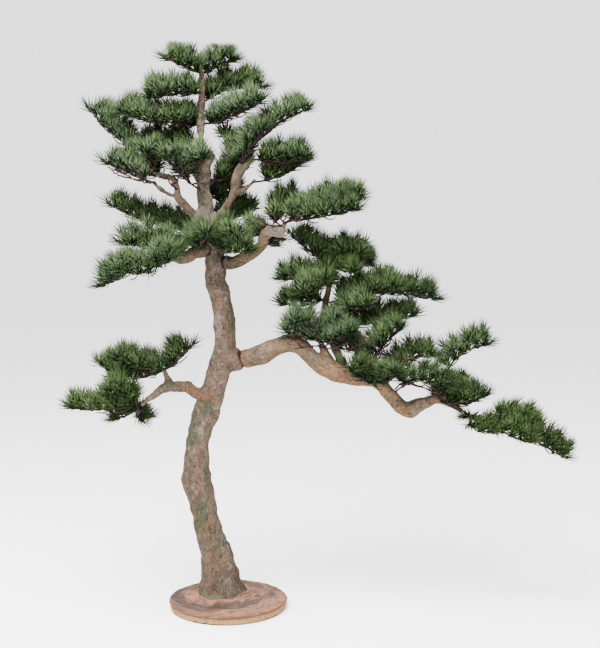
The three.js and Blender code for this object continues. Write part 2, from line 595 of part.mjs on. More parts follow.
// A stem as a row of points, from its peg or its fork to its tip.
function placeStem(name, index, host, root, [middle, tip, width, degrees, bare]) {
  const curve = stemCurve(root, middle, tip);
  const length = curve.getLength();
  const [start, out] = index ? [0, 0] : pegShares(host, curve);
  const steps = Math.max(2, Math.round(length / STEM_STEP));
  const shares = [start];
  for (let i = 1; i <= steps; i++) shares.push(Math.min(1, out + (i * (1 - out)) / steps));
  const points = shares.map((share) => curve.getPointAt(share));
  const id = `${name}${index}`;
  points.slice(1).forEach((point, i) => take(points[i], point, STEM_RADIUS, STEM_RADIUS, name, id));
  const lean = THREE.MathUtils.degToRad(degrees);
  return { name, id, host, index, width, lean, curve, shares, points, start, out,
    bare: Math.max(bare, out + 12 / length), twigs: [] };
}

// A twig is shortened where it would meet something, or left out.
function placeTwig(spray, twig, id) {
  for (const share of [1, 0.7]) {
    const tried = { ...twig, id, reach: Math.max(2 * BAND + 6, twig.reach * share) };
    const path = twigPath(tried);
    const start = path[0].clone().lerp(path[3], 0.3);
    if (!isClear(start, path[3], TWIG_RADIUS, TWIG_RADIUS, 2.5, () => false)) continue;
    path.slice(1).forEach((point, k) => take(path[k], point, TWIG_RADIUS, TWIG_RADIUS, spray.name, id));
    spray.twigs.push({ ...tried, path });
    return;
  }
}

// The stems and twigs of every bough, placed before any needle is.
function placeSprays() {
  const placed = [];
  for (const [name, [host, root, ...list]] of Object.entries(BOUGHS)) {
    const first = placeStem(name, 0, host, vector(root), list[0]);
    const justOut = first.out + FORK_DISTANCE / first.curve.getLength();
    const forks = list.slice(1).map((spray, i) =>
      placeStem(name, i + 1, host, onStem(first, spray[5] ?? justOut), spray));
    placed.push(first, ...forks);
  }
  for (const spray of placed)
    sideTwigs(spray).forEach((twig, i) => placeTwig(spray, twig, `${spray.id}.${i}`));
  return placed;
}

// A spray: its stem with a tuft at the end, joined to its side twigs with theirs.
function makeSpray(spray) {
  const { points, curve, lean, name, id } = spray;
  const end = padFrame(curve, 1, lean);
  const tip = points[points.length - 1];
  const tuft = [2, 1, 0].map((n) => tip.clone().addScaledVector(end.along, -n * BAND));
  const banded = [...points.slice(0, -1), ...tuft];
  const stem = needledTube(banded, STEM_RADIUS, banded.length - 3, end.side, end.up, name, id);
  const twigs = spray.twigs.map((twig) =>
    needledTube(twig.path, TWIG_RADIUS, 1, twig.side, twig.up, name, twig.id));
  return joined([stem, ...twigs]);
}

// The plain hole that a bough's stem stands in, three-sided as the stem is.
function makeHole({ curve, points, start, out, lean }) {
  const toward = points[1].clone().sub(points[0]).normalize();
  const reach = (out - start) * curve.getLength() + 9;
  const path = [-0.6, reach].map((s) => points[0].clone().addScaledVector(toward, s));
  return needledTube(path, STEM_RADIUS + 1.2, path.length, padFrame(curve, 1, lean).side);
}

takeWood();
const sprays = placeSprays();
const boughs = new Map();
for (const spray of sprays)
  boughs.set(spray.name, [...(boughs.get(spray.name) ?? []), makeSpray(spray)]);

const wood = {
  trunk: makeTrunk(),
  limb_low_right: makeLimb("limb_low_right", SOCKETS.low_right, 9),
  limb_up_right: makeLimb("limb_up_right", SOCKETS.up_right, 8),
  limb_up_left: makeLimb("limb_up_left", SOCKETS.up_left, 8),
};
for (const spray of sprays.filter((one) => !one.index))
  wood[spray.host] = wood[spray.host].subtract(makeHole(spray));

const pine = new THREE.Group();
pine.add(meshOf("base_board", makeBoard(), "board"));
pine.add(meshOf("base_coat", makeCoat(), "coat"));
for (const [name, solid] of Object.entries(wood)) pine.add(meshOf(name, solid, "bark"));
for (const [name, socket] of Object.entries(SOCKETS))
  pine.add(meshOf(`sleeve_${name}`, makeSleeve(socket), "rubber"));
pine.add(meshOf("tie_wire", makeTieWire(), "wire"));
for (const [name, solids] of boughs) pine.add(meshOf(`spray_${name}`, joined(solids), "needle"));

export default pine;
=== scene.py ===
# %% [markdown]
# # A garden pine trained as a bonsai
#
# This tree is a made one, as it stands in gardens and halls: a bent trunk moulded over a core,
# three limbs that plug into collars, pads of plastic needles on wrapped stems, and a round board.
# The frame holds each piece as a plain faceted solid, at its real size and in its place. The cells
# below put a finer surface where each plain one is, and give it its finish. All sizes are metres.

import json
import math
from collections import namedtuple

import bpy
import numpy as np
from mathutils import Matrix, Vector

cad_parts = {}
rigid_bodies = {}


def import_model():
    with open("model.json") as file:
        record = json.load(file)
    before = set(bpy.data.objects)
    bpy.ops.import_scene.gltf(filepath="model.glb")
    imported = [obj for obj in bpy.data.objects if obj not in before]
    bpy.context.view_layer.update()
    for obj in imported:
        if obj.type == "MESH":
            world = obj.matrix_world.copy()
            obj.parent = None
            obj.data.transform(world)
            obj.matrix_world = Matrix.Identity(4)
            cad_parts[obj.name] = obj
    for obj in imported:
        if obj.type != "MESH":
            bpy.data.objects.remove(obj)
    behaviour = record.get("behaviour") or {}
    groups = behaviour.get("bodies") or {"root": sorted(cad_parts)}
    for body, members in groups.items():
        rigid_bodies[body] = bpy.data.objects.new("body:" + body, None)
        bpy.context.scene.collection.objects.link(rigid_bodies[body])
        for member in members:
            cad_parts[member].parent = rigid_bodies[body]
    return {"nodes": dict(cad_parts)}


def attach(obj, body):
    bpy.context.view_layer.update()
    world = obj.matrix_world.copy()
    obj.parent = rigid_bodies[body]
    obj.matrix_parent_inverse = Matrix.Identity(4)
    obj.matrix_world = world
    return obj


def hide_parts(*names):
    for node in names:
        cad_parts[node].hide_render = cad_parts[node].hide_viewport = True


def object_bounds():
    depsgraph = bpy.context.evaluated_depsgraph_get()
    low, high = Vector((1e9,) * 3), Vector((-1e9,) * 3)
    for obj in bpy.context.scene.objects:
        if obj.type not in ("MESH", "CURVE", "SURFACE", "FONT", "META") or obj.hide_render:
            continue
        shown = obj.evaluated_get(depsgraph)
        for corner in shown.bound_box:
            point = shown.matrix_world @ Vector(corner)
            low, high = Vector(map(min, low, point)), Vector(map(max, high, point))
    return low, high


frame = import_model()
cad_box = [list(corner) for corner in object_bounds()]
LOW, HIGH = (np.array(corner) for corner in cad_box)
print("frame loaded:", len(frame["nodes"]), "nodes,", (HIGH - LOW).round(3), "m")

# %% [markdown]
# ## The view
#
# The tree is seen from its front, from a little above its middle, with a lens a bit longer than
# normal. A camera tilted 5 degrees down shows the board's top as a flat ellipse and the lower side
# of the highest pads, so the camera is placed first and everything is judged through it.


# %% Camera
def stand(name, data):
    """A new object that holds the data, in the scene."""
    made = bpy.data.objects.new(name, data)
    bpy.context.scene.collection.objects.link(made)
    return made


TILT = 5
lens = bpy.data.cameras.new("camera")
lens.lens = 63.06
lens.sensor_width = 36
lens.clip_end = 60
camera = stand("camera", lens)
camera.location = (0.2555, -3.9493, 1.3551)
camera.rotation_euler = (math.radians(90 - TILT), 0, 0)
bpy.context.scene.camera = camera
print("camera at", tuple(round(c, 3) for c in camera.location))

# %% [markdown]
# ## Meshes from arrays
#
# Every surface here is a grid of points worked out as whole arrays: rows along a piece, columns
# round it. One function turns such arrays into a mesh. It takes the points and any number of face
# arrays, which may have different numbers of corners, and turns all faces round if they point in.


# %% From arrays to a piece
def signed_volume(points, faces):
    """Six times the volume inside the faces: the sum of the corner triple products of each face,
    cut into triangles that share its first corner."""
    first = points[faces[:, :1]]
    second, third = points[faces[:, 1:-1]], points[faces[:, 2:]]
    return (first * np.cross(second, third)).sum()


def give_attributes(mesh, attributes):
    """Gives a mesh one number a point for each named attribute."""
    for key, values in attributes.items():
        layer = mesh.attributes.new(key, "FLOAT", "POINT")
        layer.data.foreach_set("value", np.asarray(values, np.float32).ravel())


def finished(name, mesh, finish):
    """An object of a mesh that is smooth all over and has one finish."""
    mesh.polygons.foreach_set("use_smooth", np.ones(len(mesh.polygons), bool))
    mesh.materials.clear()
    mesh.materials.append(finish)
    return stand(name, mesh)


def piece(name, points, face_sets, finish, **attributes):
    """A closed mesh object from rows of points, arrays of faces and one value a point for each
    named attribute."""
    if sum(signed_volume(points, faces) for faces in face_sets) < 0:
        face_sets = [faces[:, ::-1] for faces in face_sets]
    corners = np.concatenate([faces.ravel() for faces in face_sets]).astype(np.int32)
    sides = np.concatenate([np.full(len(faces), faces.shape[1]) for faces in face_sets])
    mesh = bpy.data.meshes.new(name)
    mesh.vertices.add(len(points))
    mesh.vertices.foreach_set("co", points.astype(np.float32).ravel())
    mesh.loops.add(len(corners))
    mesh.loops.foreach_set("vertex_index", corners)
    mesh.polygons.add(len(sides))
    mesh.polygons.foreach_set("loop_start", np.concatenate([[0], np.cumsum(sides)[:-1]]))
    mesh.update(calc_edges=True)
    give_attributes(mesh, attributes)
    return finished(name, mesh, finish)


def triangles(made):
    """How many triangles a piece has: the corners of each face less two."""
    return sum(len(face.vertices) - 2 for face in made.data.polygons)


# %% Directions and angles
def unit(vectors):
    """Each vector divided by its length."""
    return vectors / np.linalg.norm(vectors, axis=-1, keepdims=True)


def angles(count):
    """Equal steps round a circle, from 0."""
    return np.arange(count) * math.tau / count


def wrapped(angle):
    """The same angle, brought between minus and plus half a turn."""
    return np.arctan2(np.sin(angle), np.cos(angle))


def across(along, reference):
    """Directions beside and above an axis. Beside is at right angles to it and to a reference."""
    beside = unit(np.cross(along, reference))
    return beside, np.cross(beside, along)


def spokes(beside, above, angle):
    """Directions round an axis: the cosine of each angle beside it plus the sine above it."""
    return (beside[..., None, :] * np.cos(angle)[..., None]
            + above[..., None, :] * np.sin(angle)[..., None])


# %% Rings along a path
def ring_frames(path):
    """Directions beside and above each path at each of its points. Beside is at right angles to
    the path and to the axis that the path as a whole follows least."""
    along = unit(np.gradient(path, axis=-2))
    whole = np.abs(path[..., -1, :] - path[..., 0, :])
    least = np.eye(3)[whole.argmin(axis=-1)]
    beside = unit(np.cross(least[..., None, :], along))
    return beside, np.cross(along, beside)


def sweep(path, radius, sides):
    """Tubes round paths: each point is the path's point plus the radius times the cosine of its
    angle beside the path and the sine above it. path is (tubes, rows, 3), radius (tubes, rows) or
    (tubes, rows, sides). Returns the points and the faces, with both ends closed."""
    tubes, rows = path.shape[:2]
    radius = np.broadcast_to(radius.reshape(tubes, rows, -1), (tubes, rows, sides))
    points = path[:, :, None] + spokes(*ring_frames(path), angles(sides)) * radius[..., None]
    return points.reshape(-1, 3), tube_faces(tubes, rows, sides)


def grid_quads(rows, sides, closed):
    """Quads between neighbouring rows of a grid whose columns go round, and from the last row back
    to the first if it is closed."""
    row, column = np.meshgrid(np.arange(rows - 1 + closed), np.arange(sides), indexing="ij")
    below, right = (row + 1) % rows, (column + 1) % sides
    corners = [row * sides + column, row * sides + right, below * sides + right,
               below * sides + column]
    return np.stack(corners, axis=-1).reshape(-1, 4)


def tube_faces(tubes, rows, sides):
    """Quads between the rings of each tube, and one face over each end."""
    starts = np.arange(tubes)[:, None, None] * rows * sides
    ends = np.stack([np.arange(sides)[::-1], np.arange(sides) + (rows - 1) * sides])
    walls = grid_quads(rows, sides, closed=False)
    return [(walls + starts).reshape(-1, 4), (ends + starts).reshape(-1, sides)]


def join(tubes):
    """Tubes made one by one as one set of points and one list of faces."""
    offset, points, faces = 0, [], []
    for tube_points, tube_sets in tubes:
        points.append(tube_points)
        faces += [one + offset for one in tube_sets]
        offset += len(tube_points)
    return np.concatenate(points), faces


# %% [markdown]
# ## Finishes in code
#
# A finish is a tree of nodes. Written out one by one, such a tree hides what it computes. So a
# small class wraps an output socket and lets +, - and * stand for Math nodes, and one method adds
# any other node from its type, its settings and the values or links of its sockets.


# %% Amounts
class Amount:
    """A number that varies over a surface, such as a mask or a height."""

    def __init__(self, finish, socket):
        self.finish = finish
        self.socket = socket

    def maths(self, operation, first, second):
        """The result of one Math node."""
        return self.finish.node("ShaderNodeMath", {"operation": operation}, {0: first, 1: second})

    def __add__(self, other):
        return self.maths("ADD", self, other)

    def __sub__(self, other):
        return self.maths("SUBTRACT", self, other)

    def __mul__(self, other):
        return self.maths("MULTIPLY", self, other)

    def __rsub__(self, other):
        return self.maths("SUBTRACT", other, self)

    __radd__ = __add__
    __rmul__ = __mul__


# %% Tones and finishes
def tone(code, share=0.5):
    """A colour from its six-figure code: each channel over 255, raised from screen to light. The
    scene's light is strong, so that the floor looks white, and only a share of the colour is
    taken."""
    channels = np.array([int(code[i:i + 2], 16) for i in (0, 2, 4)]) / 255
    light = np.where(channels < 0.04045, channels / 12.92, ((channels + 0.055) / 1.055) ** 2.4)
    return (*(light * share), 1)


class Finish:
    """A material of one Principled shader, whose constants are set on its own sockets."""

    def __init__(self, name, **constants):
        self.material = bpy.data.materials.new(name)
        self.material.use_nodes = True
        self.tree = self.material.node_tree
        self.shader = self.tree.nodes["Principled BSDF"]
        for key, value in constants.items():
            self.shader.inputs[key.replace("_", " ")].default_value = value
        self.place = self.node("ShaderNodeTexCoord", output="Object")

    def node(self, kind, settings=None, sockets=None, output=0):
        """Adds a node: its settings first, then the value or the link of each socket."""
        made = self.tree.nodes.new(kind)
        for key, value in (settings or {}).items():
            setattr(made, key, value)
        for key, value in (sockets or {}).items():
            self.feed(made.inputs[key], value)
        return Amount(self, made.outputs[output])

    def feed(self, socket, value):
        """Links an amount to a socket, or sets the socket's own value."""
        if isinstance(value, Amount):
            self.tree.links.new(value.socket, socket)
        else:
            socket.default_value = value

    def noise(self, size, stretch=(1, 1, 1), detail=4, shift=(0, 0, 0), twist=0, place=None):
        """Noise from 0 to 1 whose patches are about size across, longer along stretched axes, and
        wound into each other by a twist. It reads the object's coordinates or another place."""
        scale = tuple(1 / (size * along) for along in stretch)
        moved = self.node("ShaderNodeMapping", {}, {"Vector": place or self.place,
                                                    "Location": shift, "Scale": scale})
        sockets = {"Vector": moved, "Scale": 1, "Detail": detail, "Distortion": twist}
        return self.node("ShaderNodeTexNoise", {}, sockets)

    def step(self, amount, low, high):
        """0 below low, 1 above high and a smooth rise between them."""
        return self.node("ShaderNodeMapRange", {"interpolation_type": "SMOOTHSTEP"},
                         {0: amount, 1: low, 2: high})

    def near(self, amount, value, width):
        """1 where the amount is a value, falling to 0 at a width away from it."""
        away = self.node("ShaderNodeMath", {"operation": "ABSOLUTE"}, {0: amount - value})
        return 1 - self.step(away, 0, width)

    def mix(self, share, first, second):
        """The first colour, turning into the second as share goes from 0 to 1."""
        return self.node("ShaderNodeMix", {"data_type": "RGBA"}, {0: share, 6: first, 7: second}, 2)

    def attribute(self, name):
        """A value that the mesh holds at each of its points."""
        return self.node("ShaderNodeAttribute", {"attribute_name": name}, output="Fac")

    def height_of(self):
        """The height above the floor."""
        return self.node("ShaderNodeSeparateXYZ", {}, {0: self.place}, 2)

    def relief(self, height, depth):
        """Turns a height from 0 to 1 into a bump that is depth deep."""
        sockets = {"Height": height, "Distance": depth, "Strength": 1}
        self.feed(self.shader.inputs["Normal"], self.node("ShaderNodeBump", {}, sockets))

    def roughness(self, value):
        """Makes the surface rougher in some places than in others."""
        self.feed(self.shader.inputs["Roughness"], value)

    def colour(self, value):
        """Paints the surface and returns the finished material."""
        self.feed(self.shader.inputs["Base Color"], value)
        return self.material


print("helpers ready")

# %% [markdown]
# ## Light
#
# The tree stands on white, in light that comes from all round, with a soft extra from above and
# in front. So the sky itself is white, the floor is a wide pale disc, and two large soft panels
# shape the trunk and the pads. Large panels give soft shadows, as a photographer's tents do.


# %% Sky and panels
def panel(name, place, target, size, power):
    """A square soft light of a size, at a place, that faces its target."""
    light = bpy.data.lights.new(name, "AREA")
    light.shape = "SQUARE"
    light.size = size
    light.energy = power
    held = stand(name, light)
    held.location = place
    facing = unit(np.subtract(target, place))
    held.rotation_euler = (math.acos(-facing[2]), 0, math.atan2(facing[1], facing[0]) - math.pi / 2)


sky = bpy.data.worlds.new("sky")
sky.use_nodes = True
background = sky.node_tree.nodes["Background"]
background.inputs["Color"].default_value = (1, 1, 1, 1)
background.inputs["Strength"].default_value = 2.3
bpy.context.scene.world = sky
panel("above", (-0.9, -1.7, 4.3), (0.3, 0, 1), size=3, power=1040)
panel("front", (1.8, -4.6, 1.9), (0.2, 0, 0.9), size=2.5, power=100)
print("lit by the sky and", sum(one.type == "LIGHT" for one in bpy.data.objects), "panels")

# %% Floor
FLOOR_RADIUS = 60
FLOOR_SIDES = 96
turn = angles(FLOOR_SIDES)
rim = FLOOR_RADIUS * np.stack([np.cos(turn), np.sin(turn), 0 * turn], axis=1)
floor_mesh = bpy.data.meshes.new("floor")
floor_mesh.from_pydata(rim.tolist(), [], [list(range(FLOOR_SIDES))])
paper = Finish("pale_floor", Roughness=0.9, Specular_IOR_Level=0)
pale = paper.mix(paper.noise(0.4, detail=2), tone("fafafa", 1), tone("fefefe", 1))
floor = finished("floor", floor_mesh, paper.colour(pale))
print("floor:", 2 * FLOOR_RADIUS, "m across")

# %% [markdown]
# ## The bark's finish
# The fibres' dark also paints shade into grooves and creases, under the crown and down the foot's
# right side. The two large pale dabs on the trunk's top and leader are painted light against the
# pads' shade.
#
# The trunk and the limbs have a moulded skin that was painted by hand: a dull brown ground with
# short dark fibres that run with the wood, and over it dabs of grey-green, of orange and of a pale
# grey where it was rubbed. Where the dabs lie was the painter's choice, so their places are given
# further on, as soft balls in space. The mesh holds each one's strength as an attribute.
# Here noise frays the dabs' edges, as a dry brush does.


# %% Bark
# The fibres' dark tone also paints shade into the grooves, the creases and the dark dabs
BARK = {"algae": tone("454c38"), "pale": tone("9a8b80"), "fibre_and_shade": tone("33291f"),
        "pit": tone("1f160f"), "foot": tone("60634f")}


def bark_finish(name, stretch, ground, second, orange):
    """Painted bark: two grounds, and over them specks of each dab's paint, which lie close where
    the mesh has a dab and loose elsewhere. Its folds run along stretch."""
    bark = Finish(name, Specular_IOR_Level=0.12)
    grain = bark.noise(0.0045, detail=4)
    folds = bark.noise(0.02, stretch, detail=3, shift=(4, 1, 2), twist=0.6)
    cloud = bark.noise(0.04, stretch, detail=5, twist=0.3)
    paint = bark.mix(bark.step(cloud + (grain - 0.5) * 0.5, 0.4, 0.6), ground, second)
    layers = (("pale", BARK["pale"], 0.016, 0.55, (9, 5, 5)),
              ("algae", BARK["algae"], 0.018, 0.9, (1, 2, 8)),
              ("orange", orange, 0.014, 0.65, (3, 7, 1)))
    for dab, colour, size, strength, shift in layers:
        specks = bark.noise(size, detail=4, shift=shift, twist=0.3)
        broad = bark.noise(0.08, (1, 1, 2.6), detail=3, shift=shift)
        amount = (bark.attribute(dab) * 0.45 + broad * 0.8 + (specks - 0.5) * 1.1
                  + (grain - 0.5) * 0.5)
        paint = bark.mix(bark.step(amount, 0.44, 0.74) * strength, paint, colour)
    # Painted shade: the grooves, the creases between folds and the dark dabs take the fibres' dark,
    # as do the grain's own dark specks
    creases = bark.near(folds, 0.5, 0.025)
    dark = (bark.step(bark.attribute("groove"), 0.1, 1) * 0.5 + creases * 0.5
            + (1 - bark.step(grain, 0.38, 0.5)) * 0.4 + bark.attribute("dark") * 0.6)
    paint = bark.mix(dark, paint, BARK["fibre_and_shade"])
    pits = bark.step(bark.noise(0.01, detail=1, shift=(5, 5, 5)), 0.68, 0.73)
    paint = bark.mix(pits * bark.attribute("orange") * 0.7, paint, BARK["pit"])
    bark.relief(cloud * 0.4 + grain * 0.3 - creases * 0.15 - pits * 0.15 + 0.3, 0.007)
    bark.roughness(0.75 + 0.2 * cloud)
    return bark, paint


def trunk_finish():
    """Bark with upright fibres, and green paint in patches round the foot, where the height is
    between the coat and two fingers above it."""
    bark, paint = bark_finish("trunk_bark", (1, 1, 2.2), ground=tone("5f5145"),
                              second=tone("6f5d4c"), orange=tone("80523a"))
    height = bark.height_of() - bark.noise(0.03, detail=3) * 0.012
    band = bark.step(height, 0.028, 0.031) * (1 - bark.step(height, 0.04, 0.045))
    patchy = bark.step(bark.noise(0.06, detail=3, shift=(0, 3, 0)), 0.46, 0.54)
    return bark.colour(bark.mix(band * patchy * 0.9, paint, BARK["foot"]))


def limb_finish():
    """Bark whose fibres run sideways along the limbs, on a warmer ground."""
    bark, paint = bark_finish("limb_bark", (2, 1.5, 1), ground=tone("665541"),
                              second=tone("78614c"), orange=tone("956b4a"))
    return bark.colour(paint)


TRUNK_BARK, LIMB_BARK = trunk_finish(), limb_finish()
print("bark finishes:", TRUNK_BARK.name, LIMB_BARK.name)

# %% [markdown]
# ## The base's finishes
#
# The board is raw fibre board, so its edge is a dry yellow with darker fibres and stains. The coat
# on it was trowelled round the foot while it was wet: terracotta, with grey and purple smears that
# follow the trowel. Plain noise wouldn't go round a foot. So the coat's mesh holds how strong the
# smears are and, for each point, a place curled round the foot. Noise at those places makes rings.
# The smears are painted stronger on the coat's front, as shade.


# %% Coat and board
def coat_finish():
    """Terracotta that turns purple-grey along the trowel's smears, with an orange rim."""
    coat = Finish("trowelled_coat", Roughness=0.75, Specular_IOR_Level=0.2)
    smear_and_shade, rim = coat.attribute("smear_and_shade"), coat.attribute("rim")
    curls = [coat.attribute("curl_" + axis) for axis in "xyz"]
    curl = coat.node("ShaderNodeCombineXYZ", {}, dict(enumerate(curls)))
    cloud = coat.noise(0.06, detail=5)
    grain = coat.noise(0.006, detail=4, shift=(2, 2, 2))
    strokes = coat.noise(0.009, (7, 7, 1), detail=4, twist=0.4, place=curl)
    tones = cloud + (strokes - 0.5) * 1.1 + (grain - 0.5) * 0.3
    # The smears' mask carries the front's painted shade as well as the trowel's purple-grey
    smears_and_shade = smear_and_shade + (strokes - 0.5) * 1.6 + (cloud - 0.5) * 0.8
    umber = tone("3a2b26")
    paint = coat.mix(coat.step(tones, 0.36, 0.62), tone("6e4a38"), tone("bb9880"))
    paint = coat.mix(coat.step(tones - smear_and_shade * 0.4, 0.36, 0.47) * 0.8, paint, tone("ad6c3c"))
    paint = coat.mix(coat.step(smears_and_shade, 0.25, 0.62) * 0.88, paint, umber)
    paint = coat.mix(coat.step(strokes, 0.58, 0.66) * 0.35, paint, tone("b29a8c"))
    paint = coat.mix(coat.step(grain, 0.48, 0.64) * 0.4, paint, umber)
    paint = coat.mix(rim * coat.step(cloud, 0.35, 0.5) * 0.8, paint, tone("5f3a28"))
    coat.relief(cloud * 0.3 + strokes * 0.5 + grain * 0.3, 0.003)
    return coat.colour(paint)


def board_finish():
    """Dry yellow fibres, short and upright on the edge, with brown stains and a dark lower rim."""
    board = Finish("raw_board", Roughness=0.9, Specular_IOR_Level=0.2)
    fibres = board.noise(0.004, stretch=(1, 1, 1.5), detail=4)
    stains = board.noise(0.03, detail=4, shift=(2, 5, 0))
    # Dirt together with painted shadow: the edge darkens towards its bottom, where the board meets
    # the floor
    low = 1 - board.step(board.height_of() + (stains - 0.5) * 0.012, 0.002, 0.006)
    paint = board.mix(board.step(fibres, 0.38, 0.62), tone("cf9f62"), tone("ab8150"))
    paint = board.mix(board.step(stains, 0.5, 0.64) * 0.6, paint, tone("a58573"))
    paint = board.mix(board.step(fibres, 0.57, 0.66) * 0.6, paint, tone("54402f"))
    paint = board.mix(low * 0.9, paint, tone("2a1f19"))
    board.relief(fibres, 0.002)
    return board.colour(paint)


COAT, BOARD = coat_finish(), board_finish()
print("base finishes:", COAT.name, BOARD.name)

# %% [markdown]
# ## Rubber, wire, stems and needles
#
# The sleeves are matt black rubber. The wire is dark and slightly shiny. The stems are wrapped in
# purple-brown tape. The needles are soft plastic: grey-green where they leave the twig, deep green
# along their length and yellow-green at the tip, and no two tufts have quite the same green. So
# each needle's mesh holds how far along the needle a point is, and a tint for the needle.


# %% Small finishes
def plain_finish(name, light, dark, size, roughness, depth, specular):
    """Two close tones mottled by noise of a size, with a bump as deep as depth."""
    made = Finish(name, Roughness=roughness, Specular_IOR_Level=specular)
    mottle = made.noise(size, detail=4)
    made.relief(mottle, depth)
    return made.colour(made.mix(made.step(mottle, 0.4, 0.65), tone(light), tone(dark)))


def needle_finish():
    """Green that changes along each needle, from attribute along, and between needles, from tint.
    Attribute bluish greys it."""
    needle = Finish("needle_plastic", Roughness=0.5, Specular_IOR_Level=0.1)
    along, tint = needle.attribute("along"), needle.attribute("tint")
    deep = needle.mix(needle.step(tint, -1.3, 1.3), tone("0b1707"), tone("294517"))
    paint = needle.mix(1 - needle.step(along, 0.02, 0.2), deep, tone("4c5443"))
    tip = needle.mix(needle.step(tint, -0.9, 1.1), tone("29451b"), tone("728649"))
    paint = needle.mix(needle.step(along, 0.45, 1.05), paint, tip)
    grey = needle.mix(needle.step(along, 0.3, 1.05), tone("182c1e"), tone("75896a"))
    return needle.colour(needle.mix(needle.attribute("bluish") * 0.3, paint, grey))


RUBBER = plain_finish("rubber_skin", "0f0e0e", "1b1918", size=0.004, roughness=0.6,
                      depth=0.0002, specular=0.15)
WIRE = plain_finish("dark_wire", "35281f", "574538", size=0.006, roughness=0.4,
                    depth=0.0002, specular=0.4)
TAPE = plain_finish("stem_tape", "231716", "4c3837", size=0.007, roughness=0.8,
                    depth=0.0006, specular=0.05)
NEEDLES = needle_finish()
print("small finishes:", RUBBER.name, WIRE.name, TAPE.name, NEEDLES.name)

# %% [markdown]
# ## Wood
#
# Each piece of wood is a row of stations: a place and a radius. They could be joined by straight
# cones, as the plain solids do. Here a curve goes through all of them, rings of many points follow
# it, and flutes, toes and swellings change each ring's radius by formulas.

# %% Stations
# Each station: a place on the wood's middle line and the radius there
TRUNK = (
    (-0.03, 0.04, 0.016, 0.088), (-0.032, 0.039, 0.05, 0.077), (-0.034, 0.037, 0.095, 0.066),
    (-0.042, 0.034, 0.157, 0.059), (-0.058, 0.03, 0.23, 0.05), (-0.078, 0.026, 0.305, 0.047),
    (-0.095, 0.022, 0.39, 0.048), (-0.108, 0.019, 0.45, 0.049), (-0.111, 0.016, 0.515, 0.046),
    (-0.107, 0.012, 0.583, 0.042), (-0.094, 0.008, 0.65, 0.044), (-0.078, 0.005, 0.7, 0.045),
    (-0.047, 0, 0.784, 0.042), (-0.024, 0, 0.848, 0.041), (-0.009, 0, 0.911, 0.039),
    (-0.005, 0.002, 0.971, 0.038), (-0.011, 0.004, 1.041, 0.036), (-0.022, 0.006, 1.104, 0.035),
    (-0.034, 0.008, 1.163, 0.034), (-0.041, 0.008, 1.215, 0.036), (-0.044, 0.008, 1.267, 0.035),
    (-0.059, 0.008, 1.33, 0.032), (-0.071, 0.008, 1.389, 0.031), (-0.074, 0.006, 1.447, 0.027),
    (-0.078, 0.004, 1.499, 0.027), (-0.082, 0.002, 1.55, 0.03), (-0.078, 0, 1.59, 0.033),
    (-0.076, 0, 1.612, 0.028),
)
LEADER = (
    (-0.079, 0, 1.598, 0.016), (-0.086, -0.002, 1.64, 0.013), (-0.085, -0.002, 1.69, 0.014),
    (-0.084, 0, 1.745, 0.015), (-0.082, 0.002, 1.8, 0.013), (-0.083, 0.002, 1.845, 0.012),
    (-0.085, 0.002, 1.88, 0.011),
)
LEFT_LIMB = (
    (-0.05, 0, 0.78, 0.028), (-0.085, -0.004, 0.771, 0.023), (-0.111, -0.01, 0.768, 0.021),
    (-0.146, -0.017, 0.793, 0.02), (-0.188, -0.022, 0.789, 0.018), (-0.221, -0.026, 0.786, 0.015),
    (-0.249, -0.034, 0.763, 0.013), (-0.29, -0.046, 0.735, 0.008),
)
LEFT_FORK = (
    (-0.196, -0.023, 0.79, 0.014), (-0.207, -0.021, 0.815, 0.011), (-0.219, -0.016, 0.852, 0.008),
)
CROWN_LEFT = (
    (-0.07, 0.004, 1.35, 0.02), (-0.094, -0.004, 1.368, 0.018), (-0.133, -0.022, 1.416, 0.014),
    (-0.158, -0.031, 1.45, 0.013), (-0.171, -0.034, 1.491, 0.012), (-0.183, -0.036, 1.514, 0.012),
    (-0.211, -0.038, 1.519, 0.01), (-0.24, -0.04, 1.531, 0.008),
)
CROWN_LEFT_FORK = (
    (-0.15, -0.029, 1.436, 0.012), (-0.183, -0.04, 1.455, 0.009), (-0.21, -0.05, 1.468, 0.008),
    (-0.24, -0.06, 1.497, 0.007),
)
CROWN_RIGHT = (
    (-0.068, 0.006, 1.338, 0.02), (-0.049, -0.004, 1.361, 0.018), (-0.001, -0.02, 1.411, 0.014),
    (0.02, -0.026, 1.447, 0.014), (0.034, -0.03, 1.487, 0.014), (0.038, -0.032, 1.52, 0.014),
    (0.05, -0.034, 1.56, 0.009),
)
CROWN_RIGHT_ARM = (
    (0.037, -0.032, 1.512, 0.013), (0.06, -0.034, 1.543, 0.011), (0.093, -0.038, 1.582, 0.007),
)
CROWN_RIGHT_FORK = (
    (0.026, -0.028, 1.448, 0.011), (0.073, -0.018, 1.483, 0.008), (0.095, -0.012, 1.503, 0.007),
)
